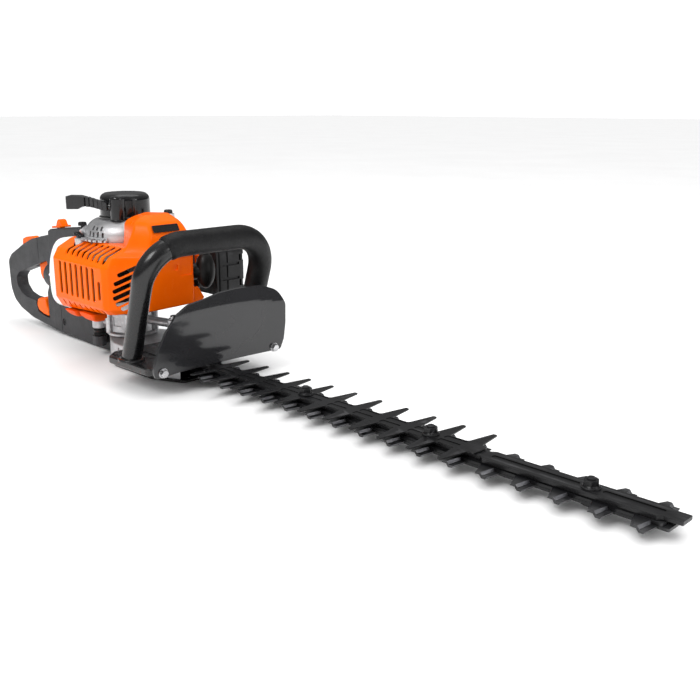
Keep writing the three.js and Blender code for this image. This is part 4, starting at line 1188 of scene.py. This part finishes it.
BOSS = (21, -23)  # where the rope comes out
RECOIL_FOOT = 174.8
RECOIL_ROOM = 26.5  # radius inside the recoil housing
ROPE_WAY = (-0.75, -0.661)
ROPE_RISE = 0.12  # climb of the rope per unit along its way


def rope_at(s):
    return (BOSS[0] + ROPE_WAY[0] * s, BOSS[1] + ROPE_WAY[1] * s, 189.5 + ROPE_RISE * s)


def recoil_cover():
    cup = lathe(
        [
            (RECOIL_ROOM, RECOIL_FOOT), (31.5, RECOIL_FOOT), (31.5, 176.6), (31, 177.2),
            (30.4, 177.6), (29.9, 178.6), (29.7, 197), (29.2, 199.6), (28, 201.8), (26, 203.6),
            (23.6, 204.7), (20, 205), (0, 205), (0, 202.4), (22, 202.4), (RECOIL_ROOM, 198),
        ],
        88,
    )
    boss = spindle([(9.6, RECOIL_FOOT), (9, 176), (9, 199.6), (8.4, 201.6), (7, 203)], 44, BOSS)
    room = drum(RECOIL_ROOM, 170, 198, 88)
    hole = rod(3, rope_at(-14), rope_at(16))
    lip = rod(5, rope_at(7.5), rope_at(10), 28)
    ridge = turned(box(24, 31.2, -2.2, 2.2, RECOIL_FOOT, 199.5), math.radians(-12))
    eased(ridge, 1.2)
    whole = join(cup, cut(join(boss, lip), room.copy()), cut(ridge, room.copy()))
    room.free()
    return cut(whole, hole)


piece("recoil_cover_dome", recoil_cover(), "black_gloss_plastic", nodes=["recoil_cover"], angle=34)


def starter_grip():
    """A slim curved neck at the rope end and a boxy, hollow block for the fingers."""
    side = [
        (12, 185, 2), (30, 190.2, 12), (40, 191.4, 6), (45, 188.2, 3), (60, 188, 2.5),
        (60, 203.5, 2.5), (45, 203.5, 8), (34, 201.4, 16), (12, 195, 3),
    ]
    half = [(12, -3.4, 1), (21, -4, 8), (34, -6, 10), (44, -8.2, 8), (60, -8.4, 2.5)]
    plan = half + [(x, -y, r) for x, y, r in reversed(half)]
    body = meet(prism(fillet(side, 4), -10, 10, "y"), prism(fillet(plan, 4), 170, 210))
    eased(body, 1.6, 3, 40)
    hollow = round_box(-5.6, 5.6, 190.6, 201, 52, 75, 2, "x")
    hole = rod(2.2, (5, 0, 189.5 + ROPE_RISE * 5), (51, 0, 189.5 + ROPE_RISE * 51))
    ribs = [
        box(16 + 5 * i, 18 + 5 * i, *on_side(side, 3.2 + 0.22 * i, 12), 180, 202)
        for i in range(5)
        for side in (-1, 1)
    ]
    whole = cut(body, hollow, hole, *ribs)
    turned(whole, math.atan2(ROPE_WAY[1], ROPE_WAY[0]), "Z")
    return shift(whole, BOSS[0], BOSS[1])


piece("starter_grip_moulded", starter_grip(), "black_gloss_plastic", "starter_grip", ["starter_grip"])


# ---- fuel tank, carburettor, air filter
TANK_LEVELS = [  # height, rear face, half width, corner radius
    (55, -107, 40, 10), (58.5, -113, 45.5, 14), (66, -117.5, 49, 16), (80, -119.6, 50, 17),
    (100, -119.6, 50, 17), (116, -116.5, 49.4, 17), (129, -111.5, 47.6, 16), (138, -106, 44.5, 14),
    (142.5, -100, 40, 10), (144, -94, 35, 7),
]


def fuel_tank():
    rings = []
    for z, rear, half, corner in TANK_LEVELS:
        plan = fillet(rect(rear, -57.5 - (50 - half) * 0.2, -half, half), corner, 8)
        rings.append([(x, y, z) for x, y in plan])
    columns = [smooth_path(column, 3) for column in zip(*rings)]
    shell = loft(list(zip(*columns)))
    body = cut(shell, box(-130, -86, -14.5, 14.5, 129.8, 150))
    neck = drum(15, 140, 156, 40, CAP_AT)
    seam = eased(round_box(-120.6, -57, -50.8, 50.8, 94, 96.2, 16.6, steps=8), 0.7)
    room = round_box(-107, -60.5, -40, 40, 60, 126, 12, steps=6)
    throat = drum(12, 120, 158, 32, CAP_AT)
    return cut(join(body, neck, seam), room, throat)


piece("fuel_tank_blown", fuel_tank(), "tank_plastic", nodes=["fuel_tank"], angle=40)


def fuel_cap():
    skirt = lathe(
        [
            (15.4, 149.5), (18, 149.5), (18, 159.6), (17.2, 161.2), (15.6, 162), (0, 162), (0, 157),
            (15.4, 157),
        ],
        72,
    )
    plug = drum(11.4, 151, 158, 32)
    bar = round_box(-14, 14, -2.6, 2.6, 161, 165.5, 1.6)
    eased(bar, 0.8)
    grooves = [turned(box(17.1, 19, -0.9, 0.9, 148, 158.5), math.pi * i / 12) for i in range(24)]
    return shift(cut(join(skirt, plug, bar), *grooves), *CAP_AT)


piece("fuel_cap_ribbed", fuel_cap(), "black_gloss_plastic", "fuel_cap", ["fuel_cap"])


def intake(y0, y1):
    x, z = INTAKE
    return rod(6, (x, y0, z), (x, y1, z))


def carburettor():
    body = eased(box(42, 66, 34, 62, 90, 116), 1.6)
    bowl = spindle([(8.6, 82), (10, 83.4), (10, 91)], 40, (54, 48))
    flange = eased(round_box(38, 70, 94, 112, 31.9, 35, 4, "y"), 0.5)
    rear = eased(round_box(38, 70, 94, 114, 61, 67.6, 4, "y"), 0.6)
    lever = drum(2.6, 115, 118, 24, (46, 52))
    bore = intake(25, 75)
    drill = rod(2.2, (66.1, 50, 96), (50, 50, 96))
    ribs = [box(64, 68, 37 + 6 * i, 39 + 6 * i, 100, 113) for i in range(4)]
    return cut(join(body, bowl, flange, rear, lever), bore, drill, *ribs)


piece("carburettor_cast", carburettor(), "black_paint", nodes=["carburettor"])
bulb = lathe(
    [(0, 0), (9, 0), (9, 1.6), (8.2, 2.4), (7.6, 4.5), (6.6, 6.8), (4.8, 8.8), (2.5, 9.8), (0, 10)], 40
)
turned(bulb, math.pi / 2, "Y")
piece("primer_bulb_domed", shift(bulb, 66.4, 50, 96), "rubber_black", nodes=["primer_bulb"], angle=50)


def choke_lever():
    y, z = 54, 111
    hub = spindle([(4.5, 66.4), (4.5, 69.8), (4, 70.4)], 32, (y, z), "x")
    arm = round_box(y - 2.6, y + 2.6, z, z + 20, 67.4, 69.8, 2, "x")
    tab = round_box(67.4, 74, z + 16, z + 19, y - 2.6, y + 2.6, 0.8, "y")
    return eased(join(hub, arm, tab), 0.4)


piece("choke_lever_moulded", choke_lever(), "orange_plastic", "choke_lever", ["choke_lever"])


def filter_cover():
    """A deep lid with stepped blocks, cooling grooves and two clips on its front end."""
    shell = round_box(8, 88, 80, 137, 72.3, 112, 8, "y")
    eased(shell, 2.4, 3)
    room = round_box(11, 85, 83, 134, 60, 109, 6, "y")
    tools = [room]
    for z0, z1 in ((79, 84), (97, 100.5), (115, 118.5), (133, 139)):
        tools.append(box(86.2, 92, 78, 104, z0, z1))
    tools.append(box(86.6, 92, 84, 86.4, 84, 133))
    tools.append(box(0, 100, 95, 99, 70, 81))
    for i in range(5):
        tools.append(round_box(20 + 11 * i, 25 + 11 * i, 92, 125, 110.9, 114, 2.4, "y"))
    tools.append(box(84.8, 92, 104, 114, 88, 96))
    tools.append(box(84.8, 92, 104, 114, 120, 128))
    return cut(shell, *tools)


piece("air_filter_lid", filter_cover(), "charcoal_dark", "air_filter_cover", ["air_filter_cover"])


def filter_base():
    plate = round_box(8, 88, 80, 137, 68, 72, 8, "y")
    eased(plate, 0.7)
    return cut(plate, intake(60, 80))


piece("air_filter_backplate", filter_base(), "charcoal_dark", nodes=["air_filter_base"])
felt = eased(round_box(14, 82, 86, 131, 74, 92, 5, "y"), 2, 3)
piece("filter_felt_pad", felt, "filter_felt", nodes=["filter_element"])


# ---- ignition
LEAD = [
    (31, 36, 146.3), (38, 44, 147), (52, 53, 148), (72, 55, 150), (88, 50, 150), (95, 46, 147),
    (*BOOT_AT, 139), (*BOOT_AT, 128),
]
sleeve = tube(smooth_path(LEAD, 8), 2.8, 20)
piece("ignition_lead_sleeve", sleeve, "rubber_black", nodes=["ignition_lead"], angle=60)


def plug_boot():
    def at(t):
        return along(*PLUG_WAY, t)

    socket = rod(9.5, at(0.6), at(1.25), 40)
    bulge = ball((*BOOT_AT, 116), (12, 12, 22), 40, 24)
    collar = [at(0.6), at(0.68)]
    rims = [rod(10.4, *collar, 40), tube([(*BOOT_AT, 134), (*BOOT_AT, 139)], 5.6, 28)]
    bore = rod(4.9, at(0.5), at(1.03), 24)
    hole = rod(4.4, (*BOOT_AT, 126), (*BOOT_AT, 150), 24)
    return cut(join(socket, bulge, *rims), bore, hole)


piece("spark_plug_cap", plug_boot(), "rubber_black", nodes=["spark_plug_boot"], angle=40)


# ---- rear frame, cable and switch
CABLE = [
    (-186, 0, PIVOT_Z), (-172, 0, PIVOT_Z), (-154, 7, PIVOT_Z), (-140, 26, 80), (-126, 52, 84),
    (-92, 66, 92), (-40, 67, 104), (0, 64, 118), (28, 57, 126), (42, 52, 125), (46, 52, 120.5),
]
FRAME_SCREWS = [(-1, -150, 20), (1, -150, 20), (1, -56, 22), (1, -150, 118)]  # side, x, z


def rear_frame():
    side = [
        (SWIVEL_X, 4.5, 2), (SWIVEL_X, 142, 4), (-171, 145.5, 6), (-98, 154, 6), (-90, 150, 4),
        (-92, 138, 6), (-100, 130.5, 8), (-124, 130.5, 6), (-124, 54, 8), (-112, 48, 8),
        (-40, 44, 5), (-34, 40, 4), (-33, 2, 4), (-60, 0.4, 10),
    ]
    body = prism(fillet(side, 4), -13, 13, "y")
    eased(body, 3, 3)
    arm = [
        (-46, 9, 1), (-46, 20, 4), (-36, 37, 6), (-25, 37.5, 5), (-21, 31, 4), (-24, 23.5, 6),
        (-33, 19, 5), (-34, 9, 1),
    ]
    brackets = [
        eased(prism(fillet([(x, side * y, r) for x, y, r in arm], 3), 13, 26), 1.4)
        for side in (-1, 1)
    ]
    face = drum(19, SWIVEL_X, -168, 56, (0, PIVOT_Z), "x")
    stub = drum(9, -186.2, -170, 40, (0, PIVOT_Z), "x")
    collar = drum(12, -186.2, -183.2, 40, (0, PIVOT_Z), "x")
    tools = [tube(smooth_path(CABLE[:6], 6), 3.6, 16)]
    tools.append(box(-170.5, -153, -4.4, 4.4, 138, 160))
    for s in (-1, 1):
        tools.append(drum(2.8, 20, 30, 24, mount_at(s)))
        skin = on_side(s, 12.4, 16)
        tools.append(prism(rect(-157.5, -156.5, 7, 43), *skin, "y"))
        tools.append(prism(rect(-157.5, -118, 42.2, 43.2), *skin, "y"))
    for side, x, z in FRAME_SCREWS:
        tools.append(drum(4.8, *on_side(side, 11.4, 16), 28, (x, z), "y"))
    tools.append(rod(4, (-200, 0, PIVOT_Z), (-180, 0, PIVOT_Z)))
    return cut(join(body, *brackets, face, stub, collar), *tools)


piece("rear_frame_moulded", rear_frame(), "charcoal_plastic", nodes=["rear_frame"])
for i, (side, x, z) in enumerate(FRAME_SCREWS):
    head = screw_head((x, side * 11.3, z), 3.9, 1.2, "y", side)
    piece(f"frame_screw_{i + 1}", head, "blackened_steel")
sheath = tube(smooth_path(CABLE, 8), 2, 16)
piece("throttle_cable_sheath", sheath, "rubber_black", nodes=["throttle_cable"], angle=60)


def stop_switch():
    plate = [(-174, 146, 0.4), (-174, 148.6, 1), (-151, 151.3, 1), (-151, 148.7, 0.4)]
    thumb = [(-169, 147.5, 1), (-164, 157, 1.6), (-157, 158, 1.6), (-152, 150, 2)]
    base = eased(prism(fillet(plate), -8, 8, "y"), 0.5)
    body = eased(prism(fillet(thumb, 1.8), -5, 5, "y"), 0.9)
    ridges = [rod(1, (x, -4.4, 157.6), (x, 4.4, 157.6), 16) for x in (-162, -159)]
    return join(base, body, box(-168, -160, -4, 4, 140, 149), *ridges)


piece("stop_switch_ridged", stop_switch(), "orange_plastic", "stop_switch", ["stop_switch"])


# ---- rear handle and its levers
HANDLE_SCREWS = [(-188, 20), (-296, 43), (-300, 84), (-188, 124), (-250, 24)]
TRIGGER_PIN = (-208, 108)
LOCKOUT_PIN = (-226, 117)
LEVER_PIN = (-204, 26)


def handle_body():
    """The D-shaped handle: thick at the swivel and slimmer towards its rear end."""
    outside = [
        (HANDLE_FRONT, 137, 3), (-199, 133, 14), (-230, 126, 40), (-262, 115, 40), (-302, 96.5, 16),
        (-313, 86, 12), (-312, 46, 26), (-303, 30, 18), (-284, 19, 22), (-250, 11, 40),
        (-212, 8, 30), (HANDLE_FRONT, 5, 3),
    ]
    hole = [
        (-188.5, 101, 5), (-283, 72, 9), (-292, 64, 6), (-291, 52, 9), (-279, 42, 10),
        (-262, 38, 12), (-201, 36, 7), (-196, 52, 12), (-188.5, 66, 6),
    ]
    room = prism(fillet(hole, 5, 6), -20, 20, "y")
    body = cut(prism(fillet(outside, 9, 6), -11.5, 11.5, "y"), room.copy())
    eased(body, 4.8, 5, keep=lambda e: all(v.co.x < HANDLE_FRONT - 1 for v in e.verts))
    for v in body.verts:
        slim = min(max((-215 - v.co.x) / 60, 0), 1)
        v.co.y *= 1 - 0.24 * slim * slim * (3 - 2 * slim)
    face = cut(drum(19, -192, HANDLE_FRONT, 56, (0, PIVOT_Z), "x"), room)
    return join(body, face)


def cross_pin(at, r, reach):
    x, z = at
    return rod(r, (x, -reach, z), (x, reach, z))


def handle_pockets():
    around = [(-194.5, 17.5), (-212, 18.5), (-229, 22), (-234, 32), (-230, 60), (-194.5, 60)]
    pockets = [
        drum(9.8, -186.6, -170, 40, (0, PIVOT_Z), "x"),
        drum(12.9, -186.8, -182.6, 40, (0, PIVOT_Z), "x"),
        box(-238, -198, -5.4, 5.4, 76, 118),
        box(-275, -218, -5, 5, 94, 135),
        prism(fillet(around, 3), -30, -4.3, "y"),
        prism(fillet(around, 3), 4.3, 30, "y"),
    ]
    pins = [cross_pin(at, 2.6, 8) for at in (TRIGGER_PIN, LOCKOUT_PIN, LEVER_PIN)]
    return pockets + pins


def handle_half(side):
    keep = box(-330, -170, *on_side(side, 0.15, 30), 0, 150)
    tools = handle_pockets()
    if side > 0:
        tools += [drum(3.9, 6.6, 16, 28, at, "y") for at in HANDLE_SCREWS]
    tools.append(prism(rect(-214, -212.8, 88, 131), *on_side(side, 10.9, 16), "y"))
    return cut(meet(handle_body(), keep), *tools)


for side, name in ((-1, "right"), (1, "left")):
    piece(
        f"rear_handle_{name}_half", handle_half(side), "charcoal_plastic", "rear_handle",
        [f"rear_handle_{name}"],
    )
for i, (x, z) in enumerate(HANDLE_SCREWS):
    head = screw_head((x, 6.5, z), 3.2, 1.4, "y")
    piece(f"handle_screw_{i + 1}", head, "blackened_steel", "rear_handle")


TRIGGER = [
    (-202, 112, 4), (-213, 112, 4), (-220, 99, 10), (-225, 90, 8), (-224, 77, 6), (-219, 69.5, 5),
    (-210, 69.5, 4), (-203.5, 79, 8), (-200.5, 92, 12),
]
LOCKOUT = [
    (-221, 122, 3), (-222, 113, 3), (-236, 106, 10), (-262, 100.5, 5), (-272, 108, 5),
    (-272, 121.5, 4), (-262, 125, 6), (-240, 128.5, 12),
]
LATCH = [
    (-198, 20, 2), (-212, 21, 6), (-226, 24.5, 6), (-231, 32, 5), (-227, 41, 4), (-216, 44.5, 5),
    (-204, 44.5, 3), (-202, 34, 5), (-198, 28, 3),
]


def swivel_lock():
    """A lever with a cheek on each side of the handle's web, joined above it."""
    web = [(-190, 0), (-240, 0), (-240, 39.5), (-207.5, 38.6), (-207.5, 60), (-190, 60)]
    body = eased(prism(fillet(LATCH, 3), -11, 11, "y"), 1.6, 3)
    return join(cut(body, prism(web, -4.6, 4.6, "y")), cross_pin(LEVER_PIN, 2.2, 7.6))


piece("swivel_lock_moulded", swivel_lock(), "orange_plastic", "swivel_lock", ["swivel_lock"])
for name, outline, half_width, at in (
    ("throttle_trigger", TRIGGER, 4.8, TRIGGER_PIN),
    ("lockout_lever", LOCKOUT, 4.4, LOCKOUT_PIN),
):
    body = eased(prism(fillet(outline, 3), -half_width, half_width, "y"), 1.3, 3)
    shape = join(body, cross_pin(at, 2.2, 7.6))
    piece(f"{name}_moulded", shape, "orange_plastic", name, [name])

# ---- inner CAD nodes that keep their shape
KEPT = {
    "crankcase": "cast_aluminium",
    "cylinder": "cast_aluminium",
    # the muffler's near-black is painted shade behind the cover's slots
    "muffler": "muffler_painted_shade",
    "flywheel": "cast_aluminium",
    "ignition_coil": "black_gloss_plastic",
    "spark_plug": "bright_steel",
    "drive_gear": "bright_steel",
    "clutch_drum": "bright_steel",
    "clutch_rotor": "bright_steel",
    "crankshaft_lower_half": "bright_steel",
    "crankshaft_upper_half": "bright_steel",
    "connecting_rod": "bright_steel",
    "piston": "cast_aluminium",
    "starter_pulley": "charcoal_plastic",
    "recoil_spring": "bright_steel",
    "starter_rope": "rubber_black",
}
for node, look in KEPT.items():
    soften(node, look)

# ---- floor, light and camera
floor_mesh = bpy.data.meshes.new("floor")
floor_bm = bmesh.new()
for x, y in ((-30, -30), (30, -30), (30, 30), (-30, 30)):
    floor_bm.verts.new((x, y, -0.0004))
floor_bm.faces.new(floor_bm.verts[:])
floor_bm.to_mesh(floor_mesh)
floor_bm.free()
floor_mesh.materials.append(
    surface("floor_pale", (0.90, 0.90, 0.90), (0.93, 0.93, 0.93), 0.7, cloud=2, grain=60, depth=0.01)
)
floor = bpy.data.objects.new("floor", floor_mesh)
bpy.context.scene.collection.objects.link(floor)


def softbox(name, at, aim, size, power):
    light = bpy.data.lights.new(name, "AREA")
    light.shape = "RECTANGLE"
    light.size, light.size_y = size
    light.energy = power
    obj = bpy.data.objects.new(name, light)
    obj.location = at
    obj.rotation_euler = (Vector(aim) - Vector(at)).to_track_quat("-Z", "Y").to_euler()
    bpy.context.scene.collection.objects.link(obj)
    return obj


lights = [
    softbox("key", (0.5, -1.9, 1.9), (0, 0, 0.08), (1.2, 0.9), 26),
    softbox("top", (-0.2, 0.5, 2.3), (0.1, 0, 0), (2.0, 1.6), 14),
    softbox("fill", (2.4, 0.6, 0.9), (0.1, 0, 0.08), (1.0, 0.7), 10),
]

REFLECTED_SKY = 0.32  # how bright the sky is in reflections, against its diffuse light


def studio_world():
    """A sky that darkens towards the ground, dimmer in reflections and white behind the object."""
    world = bpy.data.worlds.new("studio")
    world.use_nodes = True
    tree = world.node_tree
    place = add_node(tree, "ShaderNodeTexCoord")
    split = add_node(tree, "ShaderNodeSeparateXYZ", Vector=place.outputs["Generated"])
    tones = add_node(tree, "ShaderNodeValToRGB", Fac=split.outputs["Z"])
    low, high = tones.color_ramp.elements
    low.position, high.position = 0.0, 0.8
    low.color = (0.20, 0.20, 0.205, 1)
    high.color = (1.0, 1.0, 1.0, 1)
    ray = add_node(tree, "ShaderNodeLightPath").outputs
    dim = (REFLECTED_SKY,) * 3
    mirrored = colour_mix(tree, ray["Is Glossy Ray"], tones.outputs["Color"], dim, "MULTIPLY")
    seen = colour_mix(tree, ray["Is Camera Ray"], mirrored, (1, 1, 1))
    feed(tree, tree.nodes["Background"], Color=seen, Strength=1.35)
    return world


bpy.context.scene.world = studio_world()

lens = bpy.data.cameras.new("camera")
lens.sensor_width = 36
lens.lens = 46.474
camera = bpy.data.objects.new("camera", lens)
camera.location = (0.9741, -0.6003, 0.3046)
aim = Matrix.Rotation(math.radians(44.44), 4, "Z") @ Matrix.Rotation(math.radians(75.02), 4, "X")
camera.rotation_euler = (aim @ Matrix.Rotation(math.radians(0.22), 4, "Z")).to_euler()
bpy.context.scene.collection.objects.link(camera)
bpy.context.scene.camera = camera
bpy.context.scene.view_settings.view_transform = "Standard"
